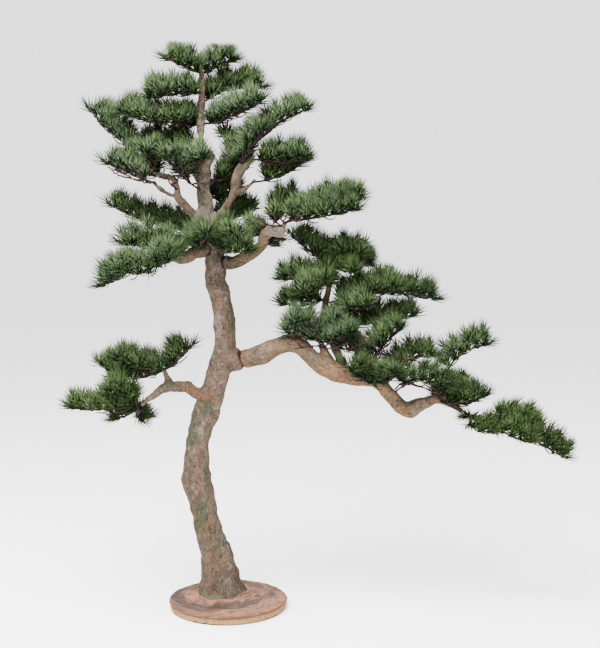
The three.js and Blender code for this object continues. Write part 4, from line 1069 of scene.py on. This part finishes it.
# %% Boughs and their stems
# A stem: the place halfway, its tip, the pad's width, the pad's lean in degrees, the bare share of
# the stem, and for some later stems the share of the first at which they fork off. The others fork
# off where the first leaves the wood. A bough is its root and its stems
Stem = namedtuple("Stem", "middle tip width lean bare fork", defaults=[None])
BOUGHS = {
    # The trunk and its arms
    "apex_left": ((-0.08, 0, 1.87), [
        ((-0.138, -0.02, 1.907), (-0.205, -0.03, 1.92), 0.07, 10, 0.12),
    ]),
    "apex_right": ((-0.08, 0.005, 1.87), [
        ((-0.03, 0.015, 1.912), (0.033, 0.025, 1.921), 0.07, -5, 0.12),
    ]),
    "second_left": ((-0.085, -0.005, 1.805), [
        ((-0.17, -0.05, 1.808), (-0.265, -0.06, 1.784), 0.062, 8, 0.1),
    ]),
    "second_right_back": ((-0.08, 0.005, 1.77), [
        ((0.005, 0.06, 1.838), (0.132, 0.085, 1.836), 0.075, 5, 0.15),
    ]),
    "second_right": ((-0.075, -0.005, 1.7), [
        ((0.03, -0.06, 1.735), (0.13, -0.07, 1.778), 0.058, -12, 0.12),
    ]),
    "third_left": ((-0.09, -0.005, 1.72), [
        ((-0.23, -0.045, 1.716), (-0.36, -0.05, 1.742), 0.06, 5, 0.06),
    ]),
    "third_left_low": ((-0.09, 0, 1.645), [
        ((-0.185, 0.025, 1.643), (-0.285, 0.03, 1.643), 0.052, 0, 0.15),
    ]),
    "third_back": ((-0.08, 0.005, 1.71), [
        ((-0.125, 0.08, 1.715), (-0.175, 0.14, 1.735), 0.06, 0, 0.2),
    ]),
    "far_left": ((-0.235, -0.04, 1.53), [
        ((-0.35, 0.005, 1.646), (-0.475, 0.01, 1.76), 0.044, 0, 0.36),
        ((-0.24, -0.075, 1.58), (-0.28, -0.095, 1.615), 0.06, -5, 0.2),
    ]),
    "mid_left_far": ((-0.235, -0.06, 1.495), [
        ((-0.32, -0.07, 1.54), (-0.408, -0.08, 1.569), 0.052, -12, 0.2),
    ]),
    "mid_left_low": ((-0.21, -0.04, 1.52), [
        ((-0.28, 0, 1.54), (-0.36, 0.02, 1.55), 0.05, -10, 0.2),
    ]),
    "mid_left_tied": ((-0.08, -0.01, 1.47), [
        ((-0.145, -0.065, 1.535), (-0.195, -0.12, 1.595), 0.06, -15, 0.4),
        ((-0.125, -0.07, 1.545), (-0.055, -0.115, 1.585), 0.045, -5, 0.4),
    ]),
    "third_right": ((0.05, -0.035, 1.555), [
        ((0.085, -0.065, 1.625), (0.14, -0.08, 1.685), 0.058, -10, 0.15),
        ((0.018, -0.008, 1.615), (0.008, 0, 1.682), 0.058, -5, 0.15),
        ((0.145, -0.015, 1.688), (0.285, 0, 1.756), 0.045, 0, 0.35),
    ]),
    "tied_right": ((-0.065, 0, 1.5), [
        ((0.01, 0.045, 1.535), (0.075, 0.095, 1.585), 0.055, 0, 0.3),
    ]),
    "mid_right": ((0.09, -0.04, 1.58), [
        ((0.185, -0.05, 1.582), (0.28, -0.05, 1.58), 0.055, 0, 0.15),
    ]),
    "mid_right_low": ((0.09, -0.015, 1.5), [
        ((0.18, 0, 1.535), (0.265, 0.01, 1.57), 0.058, 5, 0.25),
    ]),
    "back_right_top": ((-0.065, 0.01, 1.455), [
        ((-0.02, 0.09, 1.465), (0.035, 0.16, 1.495), 0.065, 0, 0.2),
    ]),
    "back_right_low": ((-0.06, 0.015, 1.385), [
        ((0.005, 0.1, 1.39), (0.08, 0.17, 1.415), 0.065, 0, 0.25),
    ]),
    "left_back_arm": ((-0.065, 0.015, 1.33), [
        ((-0.255, 0.09, 1.37), (-0.428, 0.115, 1.437), 0.058, 10, 0.15),
    ]),
    "front_centre": ((-0.045, -0.015, 1.285), [
        ((-0.01, -0.065, 1.305), (0.05, -0.115, 1.335), 0.052, 20, 0.2),
        ((0.02, -0.075, 1.276), (0.095, -0.11, 1.27), 0.055, 30, 0.25),
    ]),
    # The upper right limb
    "right_big": ((0.205, -0.045, 1.36), [
        ((0.34, -0.05, 1.436), (0.465, -0.045, 1.448), 0.08, 25, 0.08),
        ((0.345, -0.085, 1.396), (0.45, -0.095, 1.412), 0.058, 15, 0.2, 0.12),
    ]),
    "right_big_back": ((0.155, -0.05, 1.34), [
        ((0.19, 0.02, 1.415), (0.24, 0.09, 1.45), 0.055, 0, 0.25),
        ((0.12, -0.025, 1.33), (0.07, -0.015, 1.318), 0.052, 0, 0.15),
    ]),
    "right_under": ((0.185, -0.045, 1.32), [
        ((0.175, -0.025, 1.295), (0.16, -0.005, 1.285), 0.025, 0, 0.25),
    ]),
    # The upper left limb
    "left_front_top": ((-0.125, -0.11, 1.25), [
        ((-0.21, -0.175, 1.29), (-0.338, -0.2, 1.298), 0.085, 25, 0.12),
    ]),
    "left_front_right": ((-0.1, -0.08, 1.265), [
        ((-0.08, -0.135, 1.3), (-0.045, -0.175, 1.33), 0.052, 25, 0.2),
    ]),
    "left_front_low": ((-0.18, -0.18, 1.255), [
        ((-0.27, -0.235, 1.212), (-0.355, -0.245, 1.232), 0.07, 30, 0.1),
        ((-0.175, -0.22, 1.243), (-0.225, -0.25, 1.236), 0.048, 30, 0.2),
    ]),
    "left_low": ((-0.235, -0.22, 1.265), [
        ((-0.328, -0.205, 1.202), (-0.408, -0.19, 1.152), 0.046, 15, 0.25),
    ]),
    # The lower right limb
    "riser_top": ((0.375, 0.05, 1.215), [
        ((0.314, 0.012, 1.262), (0.228, -0.005, 1.322), 0.066, -8, 0.08),
        ((0.402, -0.005, 1.268), (0.476, -0.025, 1.242), 0.066, 0, 0.12),
        ((0.425, 0.085, 1.24), (0.5, 0.11, 1.21), 0.048, 0, 0.2),
        ((0.405, 0.005, 1.205), (0.448, -0.035, 1.198), 0.048, 5, 0.15),
    ]),
    "riser_left": ((0.36, 0.04, 1.16), [
        ((0.275, 0.005, 1.178), (0.192, -0.015, 1.168), 0.062, 0, 0.08),
        ((0.305, -0.025, 1.135), (0.24, -0.06, 1.122), 0.058, 10, 0.2),
        ((0.352, -0.005, 1.16), (0.338, -0.05, 1.17), 0.05, 10, 0.15),
    ]),
    "riser_left_low": ((0.345, 0.035, 1.1), [
        ((0.275, 0.025, 1.085), (0.188, 0.02, 1.083), 0.056, 0, 0.12),
    ]),
    "riser_far": ((0.345, 0.035, 1.08), [
        ((0.545, 0.085, 1.125), (0.745, 0.085, 1.092), 0.062, 10, 0.12),
        ((0.48, 0, 1.13), (0.6, -0.02, 1.14), 0.062, 0, 0.2),
    ]),
    "riser_centre": ((0.355, 0.005, 0.97), [
        ((0.415, -0.02, 0.935), (0.48, -0.035, 0.93), 0.055, 5, 0.15),
        ((0.368, -0.045, 1.005), (0.382, -0.09, 1.038), 0.052, 10, 0.2),
    ]),
    "riser_low": ((0.355, 0.015, 0.995), [
        ((0.505, 0.045, 1.02), (0.664, 0.05, 1.04), 0.066, 5, 0.1),
        ((0.415, -0.03, 1.052), (0.498, -0.06, 1.084), 0.06, 8, 0.25),
    ]),
    "stub_top": ((0.33, -0.045, 0.935), [
        ((0.292, -0.07, 0.998), (0.23, -0.09, 1.027), 0.054, -15, 0.15),
        ((0.27, -0.06, 0.98), (0.205, -0.065, 0.99), 0.038, 0, 0.12),
        ((0.38, -0.075, 0.97), (0.435, -0.1, 1), 0.048, -8, 0.2),
    ]),
    "limb_mid": ((0.485, -0.06, 0.83), [
        ((0.52, -0.07, 0.932), (0.6, -0.08, 1.003), 0.062, -10, 0.12),
    ]),
    "limb_mid_right": ((0.55, -0.06, 0.8), [
        ((0.615, -0.045, 0.892), (0.715, -0.045, 0.904), 0.058, 0, 0.08),
    ]),
    "limb_front": ((0.51, -0.07, 0.82), [
        ((0.46, -0.115, 0.85), (0.405, -0.13, 0.89), 0.042, 30, 0.12),
        ((0.54, -0.115, 0.83), (0.585, -0.13, 0.86), 0.05, 32, 0.12),
    ]),
    "right_small": ((0.72, -0.04, 0.755), [
        ((0.792, -0.03, 0.902), (0.912, -0.03, 0.944), 0.04, 0, 0.42),
    ]),
    "right_lower": ((0.575, -0.065, 0.77), [
        ((0.655, -0.09, 0.836), (0.755, -0.1, 0.798), 0.062, 20, 0.28),
    ]),
    "right_lower_back": ((0.705, -0.04, 0.75), [
        ((0.77, 0.01, 0.77), (0.84, 0.03, 0.79), 0.048, 0, 0.2),
    ]),
    "right_lower_far": ((0.745, -0.045, 0.745), [
        ((0.825, -0.06, 0.75), (0.903, -0.06, 0.774), 0.058, 5, 0.1),
    ]),
    "far_right": ((0.815, -0.035, 0.71), [
        ((1.015, -0.02, 0.648), (1.192, -0.015, 0.537), 0.042, 5, 0.5),
        ((0.94, -0.04, 0.702), (1.07, -0.05, 0.664), 0.08, 45, 0.3, 0.3),
        ((0.98, -0.08, 0.64), (1.045, -0.09, 0.616), 0.052, 20, 0.15, 0.3),
        ((0.868, -0.05, 0.656), (0.93, -0.055, 0.64), 0.05, 5, 0, 0.1),
    ]),
    # The trunk's low left arms
    "left_top": ((-0.22, -0.015, 0.847), [
        ((-0.165, -0.025, 0.904), (-0.115, -0.025, 0.942), 0.042, 0, 0.12),
        ((-0.295, -0.04, 0.868), (-0.388, -0.04, 0.9), 0.04, 0, 0.12),
        ((-0.305, 0.005, 0.835), (-0.405, 0.01, 0.812), 0.048, 0, 0.2),
        ((-0.34, -0.015, 0.838), (-0.45, -0.01, 0.88), 0.03, 0, 0.55),
    ]),
    "left_low_tip": ((-0.286, -0.045, 0.737), [
        ((-0.415, -0.06, 0.729), (-0.547, -0.06, 0.73), 0.045, 10, 0.1),
        ((-0.34, -0.075, 0.77), (-0.412, -0.09, 0.79), 0.046, 10, 0.2),
        ((-0.31, -0.025, 0.704), (-0.302, -0.015, 0.668), 0.034, 0, 0.3),
        ((-0.342, -0.02, 0.708), (-0.4, -0.006, 0.673), 0.042, 0, 0.3),
    ]),
}
BOUGHS = {name: (root, [Stem(*row) for row in rows]) for name, (root, rows) in BOUGHS.items()}
# How many stems lie side by side where wire ties them to the trunk
STRANDS = {"mid_left_tied": 2, "tied_right": 3}
# Bare twigs that show below some pads: where each starts, the place halfway and where it ends
SNAGS = {
    "stub_top": [
        ((0.33, -0.06, 0.935), (0.285, -0.09, 0.94), (0.235, -0.1, 0.932)),
        ((0.3, -0.085, 0.937), (0.28, -0.105, 0.96), (0.25, -0.11, 0.99)),
        ((0.265, -0.095, 0.937), (0.245, -0.105, 0.955), (0.222, -0.11, 0.99)),
        ((0.325, -0.06, 0.94), (0.32, -0.09, 0.97), (0.3, -0.11, 1)),
        ((0.335, -0.06, 0.935), (0.375, -0.1, 0.935), (0.42, -0.12, 0.96)),
        ((0.34, -0.07, 0.935), (0.36, -0.1, 0.96), (0.37, -0.11, 0.99)),
    ],
    "right_big": [
        ((0.205, -0.05, 1.36), (0.188, -0.08, 1.385), (0.18, -0.1, 1.42)),
        ((0.205, -0.05, 1.36), (0.225, -0.09, 1.37), (0.26, -0.11, 1.368)),
        ((0.2, -0.06, 1.36), (0.205, -0.1, 1.375), (0.22, -0.12, 1.4)),
        ((0.23, -0.09, 1.37), (0.26, -0.11, 1.385), (0.29, -0.12, 1.39)),
    ],
    "right_big_back": [
        ((0.195, -0.055, 1.352), (0.17, -0.08, 1.365), (0.15, -0.085, 1.387)),
        ((0.19, -0.06, 1.35), (0.15, -0.08, 1.352), (0.105, -0.08, 1.347)),
        ((0.175, -0.07, 1.36), (0.165, -0.08, 1.385), (0.14, -0.085, 1.405)),
        ((0.15, -0.08, 1.352), (0.13, -0.08, 1.37), (0.11, -0.08, 1.378)),
    ],
    "right_lower_far": [
        ((0.745, -0.055, 0.745), (0.79, -0.09, 0.745), (0.85, -0.11, 0.765)),
        ((0.75, -0.06, 0.75), (0.735, -0.09, 0.775), (0.71, -0.1, 0.79)),
        ((0.745, -0.05, 0.745), (0.8, -0.08, 0.732), (0.84, -0.1, 0.744)),
    ],
    "riser_centre": [
        ((0.4, -0.04, 0.95), (0.46, -0.1, 0.915), (0.5, -0.11, 0.93)),
        ((0.43, -0.08, 0.93), (0.48, -0.11, 0.955), (0.5, -0.11, 0.97)),
        ((0.45, -0.09, 0.92), (0.465, -0.11, 0.95), (0.475, -0.11, 0.985)),
        ((0.47, -0.1, 0.9), (0.525, -0.13, 0.92), (0.55, -0.13, 0.96)),
        ((0.5, -0.115, 0.908), (0.545, -0.13, 0.905), (0.58, -0.13, 0.92)),
    ],
    "right_lower": [
        ((0.585, -0.07, 0.79), (0.615, -0.1, 0.815), (0.665, -0.12, 0.805)),
        ((0.62, -0.1, 0.813), (0.68, -0.13, 0.8), (0.745, -0.13, 0.768)),
        ((0.6, -0.09, 0.81), (0.64, -0.12, 0.822), (0.67, -0.14, 0.845)),
        ((0.655, -0.12, 0.806), (0.69, -0.14, 0.81), (0.72, -0.15, 0.79)),
    ],
    "limb_mid_right": [
        ((0.57, -0.07, 0.872), (0.61, -0.1, 0.893), (0.66, -0.11, 0.9)),
        ((0.59, -0.08, 0.885), (0.6, -0.11, 0.9), (0.605, -0.12, 0.925)),
        ((0.63, -0.1, 0.896), (0.67, -0.11, 0.888), (0.7, -0.11, 0.892)),
    ],
    "mid_left_low": [
        ((-0.16, -0.08, 1.475), (-0.19, -0.12, 1.51), (-0.2, -0.14, 1.55)),
        ((-0.175, -0.1, 1.49), (-0.14, -0.13, 1.52), (-0.12, -0.14, 1.55)),
        ((-0.19, -0.11, 1.51), (-0.225, -0.14, 1.525), (-0.25, -0.15, 1.55)),
    ],
    "mid_left_far": [
        ((-0.235, -0.07, 1.495), (-0.29, -0.11, 1.505), (-0.36, -0.12, 1.54)),
        ((-0.26, -0.09, 1.498), (-0.275, -0.12, 1.52), (-0.3, -0.13, 1.55)),
        ((-0.31, -0.11, 1.513), (-0.35, -0.12, 1.52), (-0.39, -0.12, 1.55)),
    ],
}
# How far the needles' paint turns bluish on the boughs where it does
BLUISH = {"far_left": 0.8, "mid_left_far": 0.8, "mid_left_low": 0.6, "mid_left_tied": 0.5,
          "third_right": 0.6, "second_right": 0.5, "left_front_low": 0.6, "left_low": 0.5,
          "riser_left_low": 0.6, "stub_top": 1, "riser_centre": 0.7, "riser_low": 0.4,
          "left_top": 0.3, "right_small": 0.4, "right_lower": 0.4}
# How much paler, or darker where it is less than 0, the needles of a bough are than the rest
PALER = {"far_right": 0.8, "right_lower": 0.2, "limb_mid": 0.2, "left_top": 0.6,
         "left_low_tip": 0.6, "right_big": -0.2, "riser_top": 0.2, "second_left": -0.2,
         "apex_left": -0.2, "apex_right": -0.2}
print("boughs:", len(BOUGHS), "with", sum(len(stems) for _, stems in BOUGHS.values()), "stems")

# %% Sizes of stems, twigs and needles
chance = np.random.default_rng(20)
# Stems: the step between nodes, how far they swing there and sag, and their radii at both ends
NODE_STEP = 0.03
ZIGZAG = 0.0028
DROP = 0.011
STEM_RADII = (0.0034, 0.0026)
# Bare and other twigs: their radii, and how far those that go up reach
SNAG_RADII = (0.0034, 0.0022)
TWIG_RADII = np.array([0.0028, 0.0023, 0.0023, 0.002, 0.0015])
UP_REACH = 0.048
# Brushes: the length of twig that bears needles, how many it bears and how many grow together
TUFT_LENGTH = 0.02
TUFT_NEEDLES = 75
BUNDLE = 3
NEEDLE_LENGTH = 0.055
NEEDLE_RADIUS = 0.0015
GOLDEN_ANGLE = math.pi * (3 - math.sqrt(5))
# How far needles stay inside the CAD model's box
MARGIN = 0.001
# The wood as balls, 6 mm apart along its curves: their centres and radii
BEADS = np.concatenate([through(stations, 0.006)[0]
                        for paths in WOOD.values() for stations in paths])
print("wood's beads:", len(BEADS))


# %% Stems
def parabola(start, middle, end, step):
    """The curve that starts at start, passes middle halfway and ends at end: the three places are
    weighted by 1 - 3t + 2tt, 4t - 4tt and 2tt - t. Its rows are step apart."""
    t = np.linspace(0, 1, 120)[:, None]
    curve = (1 - t) * (1 - 2 * t) * start + 4 * t * (1 - t) * middle + t * (2 * t - 1) * end
    length = np.linalg.norm(np.diff(curve, axis=0), axis=1).sum()
    return evenly(curve, int(length / step) + 2)


def pad_frame(along, lean):
    """Directions beside and above a stem, for a pad that leans forward by a number of degrees."""
    return across(along, (0, -math.sin(math.radians(lean)), math.cos(math.radians(lean))))


def beads_near(points, reach):
    """The wood's beads within reach of the box round a set of points."""
    low, high = points.min(axis=0) - reach, points.max(axis=0) + reach
    return BEADS[((BEADS[:, :3] > low) & (BEADS[:, :3] < high)).all(axis=1)]


def depth_in(points, beads):
    """How deep each point lies in the nearest bead, or less than 0 outside."""
    if not len(beads):
        return np.full(len(points), -1.0)
    away = np.linalg.norm(points[:, None] - beads[None, :, :3], axis=-1)
    return (beads[:, 3] - away).max(axis=1)


def stem_of(start, stem):
    """A stem's path, the length walked along it, its radius and the line its twigs' ends are
    measured from. It swings to alternate sides at its nodes by a triangle wave, swells a little
    at each, and sags below that line between its root and its tip."""
    path, walked = parabola(start, stem.middle, stem.tip, 0.004)
    side, up = pad_frame(unit(np.gradient(path, axis=0)), stem.lean)
    beat = (walked - stem.bare * walked[-1]) / NODE_STEP
    swing = (2 * np.abs(beat % 2 - 1) - 1) * np.clip(walked / 0.03, 0, 1)
    swing = swing * np.where(beat < -0.5, 0.3, 1)
    swell = 0.3 * bell((beat - beat.round()) * NODE_STEP, 0.003) * (beat > -0.5)
    radius = np.interp(walked, [0, walked[-1]], STEM_RADII) * (1 + swell)
    line = path + side * (ZIGZAG * swing)[:, None]
    sag = DROP * np.clip(walked / 0.05, 0, 1) * np.clip((walked[-1] - walked) / 0.05, 0, 1)
    return line - up * sag[:, None], walked, radius, line


# %% Twigs
def nodes_of(path, walked, stem, spare):
    """A stem's nodes, from its bare part to spare before its tip: the length walked to each, the
    way the stem runs there, and the directions to alternate sides and above it."""
    at = np.arange(stem.bare * walked[-1], walked[-1] - spare, NODE_STEP)
    along = unit(read_off(at, walked, np.gradient(path, axis=0)))
    side, up = pad_frame(along, stem.lean)
    return at, along, side * (1 - 2 * (np.arange(len(at)) % 2))[:, None], up


def twigs_of(path, walked, line, stem):
    """The base and end of each twig on a stem, the way its end faces, its reach and its upward
    direction. At each node one goes out to each side, as far as the pad is wide there, of which
    one hangs, and two go up. The first two leave the stem one node's step before their node."""
    at, along, out, up = nodes_of(path, walked, stem, 0.008)
    length = walked[-1]
    share = (at / length - stem.bare) / (1 - stem.bare)
    fullness = np.sin(math.pi * (0.2 + 0.65 * share))
    sideways = along * 0.55 + out + up * 0.3
    hanging = along * 0.5 - out * 0.9 - up * 0.18
    upright = along * 0.35 + out * 0.25 + up * 1.3
    slanting = along * 0.7 - out * 0.8 + up * 0.9
    toward = np.concatenate([sideways, hanging, upright, slanting])
    toward = unit(toward + chance.normal(0, 0.12, toward.shape))
    height = UP_REACH * (0.6 + 0.4 * fullness)
    beside = np.maximum(0.018, (stem.width - 0.03) * fullness)
    reach = np.concatenate([beside, 0.8 * beside, height, 0.75 * height])
    reach = reach * chance.uniform(0.75, 1.15, len(reach))
    ends = np.tile(read_off(at, walked, line), (4, 1)) + toward * reach[:, None]
    early = read_off(np.maximum(at - NODE_STEP, 0.6 * stem.bare * length), walked, path)
    base = read_off(at, walked, path)
    return np.concatenate([early, early, base, base]), ends, toward, reach, np.tile(up, (4, 1))


def bare_twigs(path, walked, stem):
    """The base, end and upward direction of the leafless twigs that show under a pad. From each
    node one runs forward and out to a side, a little below the stem."""
    at, along, out, up = nodes_of(path, walked, stem, 0.09)
    base = read_off(at, walked, path)
    aside = (0.5 * stem.width * chance.uniform(0.4, 1, len(at)))[:, None]
    return base, base + along * 0.05 + out * aside - up * 0.003, up


def twig_paths(base, ends, up, rows=len(TWIG_RADII)):
    """Each twig sags below the straight line by about an eighth of its length times 4t(1 - t),
    and is knocked about a little at its inner points."""
    t = np.linspace(0, 1, rows)[None, :, None]
    span = (ends - base)[:, None]
    sag = 0.12 * np.linalg.norm(span, axis=-1, keepdims=True) * 4 * t * (1 - t)
    knocks = chance.normal(0, 0.0017, (len(base), rows, 3)) * np.where((t > 0) & (t < 1), 1, 0)
    return base[:, None] + span * t - up[:, None] * sag + knocks


# %% [markdown]
# ## Brushes of needles
#
# A real pine's needles grow in bundles, and bundle after bundle winds round the shoot. A brush does
# the same by formulas. Its needles are the bulk of the tree's triangles, so each one is a spike of
# four points and four faces, and its roundness is left to the shading. A curved needle would need
# several times as many and look the same from where a tree is seen.


# %% Brushes
def bundled(brushes, spread):
    """A random number for each bundle of each brush, given to all of its needles."""
    one_each = chance.normal(0, spread, (brushes, TUFT_NEEDLES // BUNDLE))
    return np.repeat(one_each, BUNDLE, axis=1)


def brush(ends, toward, bearing, tint):
    """The needles of each brush: where each starts, the way it points, its length and its tint.
    Bundle by bundle they step back along the twig and turn by the golden angle, which never lines
    up, and lean out from 5 degrees at the twig's end to 55 at the back. They grow towards light,
    so all are lifted, and those that would hang are lifted most."""
    number = np.arange(TUFT_NEEDLES) // BUNDLE
    back = (number + 0.5) * BUNDLE / TUFT_NEEDLES
    turn = number * GOLDEN_ANGLE + chance.uniform(0, math.tau, (len(ends), 1))
    turn = turn + chance.normal(0, 0.07, (len(ends), TUFT_NEEDLES))
    lean = np.radians(5 + 50 * back**0.7 + bundled(len(ends), 4) + chance.normal(0, 2, turn.shape))
    out = spokes(*across(toward, (0.1, 0.05, 1)), turn)
    aim = toward[:, None] * np.cos(lean)[..., None] + out * np.sin(lean)[..., None]
    aim[..., 2] = np.where(aim[..., 2] < 0, 0.45 * aim[..., 2], aim[..., 2]) + 0.1
    start = ends[:, None] - toward[:, None] * (bearing[:, None] * back)[..., None]
    length = NEEDLE_LENGTH * chance.uniform(0.8, 1.08, turn.shape)
    tints = tint[:, None] + bundled(len(ends), 0.9) + chance.normal(0, 0.35, turn.shape)
    # Painted shade: needles that start further back in the brush, deeper in the pad, are darker
    tints = tints - 0.5 * back
    return start.reshape(-1, 3), unit(aim).reshape(-1, 3), length.ravel(), tints.ravel()


def room(start, aim, length):
    """Lengths cut so that no needle passes the CAD model's box."""
    wall = np.where(aim > 0, HIGH - MARGIN, LOW + MARGIN)
    return np.minimum(length, ((wall - start) / aim).min(axis=1))


def needle_mesh(start, aim, length, tint):
    """Each needle is a spike with three sides, which tapers from its foot to a point."""
    count = len(start)
    ring = spokes(*across(aim, (0.03, 0.02, 1)), angles(3))
    tip = start + aim * length[:, None]
    points = np.concatenate([start[:, None] + ring * NEEDLE_RADIUS, tip[:, None]], axis=1)
    faces = np.array([(0, 2, 1), (0, 1, 3), (1, 2, 3), (2, 0, 3)])
    faces = (faces + np.arange(count)[:, None, None] * 4).reshape(-1, 3)
    values = {"along": np.tile([0, 0, 0, 1], count), "tint": np.repeat(tint, 4)}
    return points.reshape(-1, 3), [faces], values


# %% Parts of a bough
def strands(name, path, radius):
    """Extra stems that lie beside the first on its bare part, where wire ties them to the trunk."""
    rows = len(path) * 2 // 5
    side, up = pad_frame(unit(np.gradient(path, axis=0))[:rows], 0)
    close = np.clip((rows - np.arange(rows)) / 12, 0, 1)[:, None]
    offsets = (side * 0.0055 + up * 0.003, up * 0.0085 - side * 0.001)[:STRANDS.get(name, 1) - 1]
    return [sweep((path[:rows] + close * offset)[None], radius[None, :rows], sides=8)
            for offset in offsets]


def snag(curve):
    """A bare twig along a curve, knocked about a little, thinner towards its end."""
    path, walked = parabola(*curve, 0.009)
    path[1:] = path[1:] + chance.normal(0, 0.002, path[1:].shape)
    radius = np.interp(walked, [0, walked[-1]], SNAG_RADII)
    return sweep(path[None], radius[None], sides=6)


def fork(path, walked, share):
    """Where a later stem leaves the first: at a share of its length, or just outside the wood."""
    if share is None:
        outside = depth_in(path, beads_near(path, 0.1)) < 0
        return read_off(walked[np.argmax(outside)] + 0.008, walked, path)
    return read_off(share * walked[-1], walked, path)


def brushes_of(path, ends, toward, reach, up):
    """The brushes of a stem and its twigs, by their ends, the ways they face and how far back they
    bear needles: one on each twig, one on the stem's tip and one halfway along each long twig."""
    tip_aim = unit(unit(path[-1:] - path[-4:-3]) + (0, 0, 0.25))
    halfway = ends - toward * reach[:, None] * 0.5
    long = reach > 0.03
    return [(ends, unit(toward + 0.7 * up), np.minimum(TUFT_LENGTH, 0.9 * reach)),
            (path[-1:], tip_aim, np.array([1.2 * TUFT_LENGTH])),
            (halfway[long], unit(toward + up)[long], 0.4 * reach[long])]


def needles(name, brushes):
    """The needles of a bough's brushes, without those that would end in the wood."""
    ends, toward, bearing = (np.concatenate(column) for column in zip(*brushes))
    tint = PALER.get(name, 0) + chance.normal(0, 0.15) + chance.normal(0, 0.5, len(ends))
    start, aim, length, tints = brush(ends, toward, bearing, tint)
    length = room(start, aim, length)
    tips = start + aim * length[:, None]
    near = beads_near(start, 0.09)
    clear = (depth_in((start + tips) / 2, near) < 0) & (depth_in(tips, near) < 0) & (length > 0.012)
    return start[clear], aim[clear], length[clear], tints[clear]


# %% Boughs
def bough(name):
    """All stems of a bough with their twigs as one piece, and all its needles as another. Returns
    how many needles there are."""
    start, stems = BOUGHS[name]
    tubes, brushes, first = [snag(curve) for curve in SNAGS.get(name, ())], [], None
    for stem in stems:
        if first:
            start = fork(*first, stem.fork)
        path, walked, radius, line = stem_of(start, stem)
        tubes.append(sweep(path[None], radius[None], sides=8))
        if not first:
            first = path, walked
            tubes += strands(name, path, radius)
        base, ends, toward, reach, up = twigs_of(path, walked, line, stem)
        for paths in (twig_paths(base, ends, up), twig_paths(*bare_twigs(path, walked, stem))):
            if len(paths):
                radii = np.broadcast_to(TWIG_RADII, paths.shape[:2])
                tubes.append(sweep(paths, radii, sides=4))
        brushes += brushes_of(path, ends, toward, reach, up)
    start, aim, length, tints = needles(name, brushes)
    points, faces, values = needle_mesh(start, aim, length, tints)
    values["bluish"] = np.full(len(points), BLUISH.get(name, 0.1))
    keep(piece("twigs_" + name, *join(tubes), TAPE), "twig", "spray_" + name)
    keep(piece("needles_" + name, points, faces, NEEDLES, **values), "needle", "spray_" + name)
    return len(start)


total = sum(bough(name) for name in BOUGHS)
print("needles in all:", total)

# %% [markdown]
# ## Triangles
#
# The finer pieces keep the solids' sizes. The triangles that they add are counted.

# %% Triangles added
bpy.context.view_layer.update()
added = sum(triangles(one) for one in bpy.data.objects if one.type == "MESH" and one != floor
            and one.name not in frame["nodes"])
print("triangles added:", added)
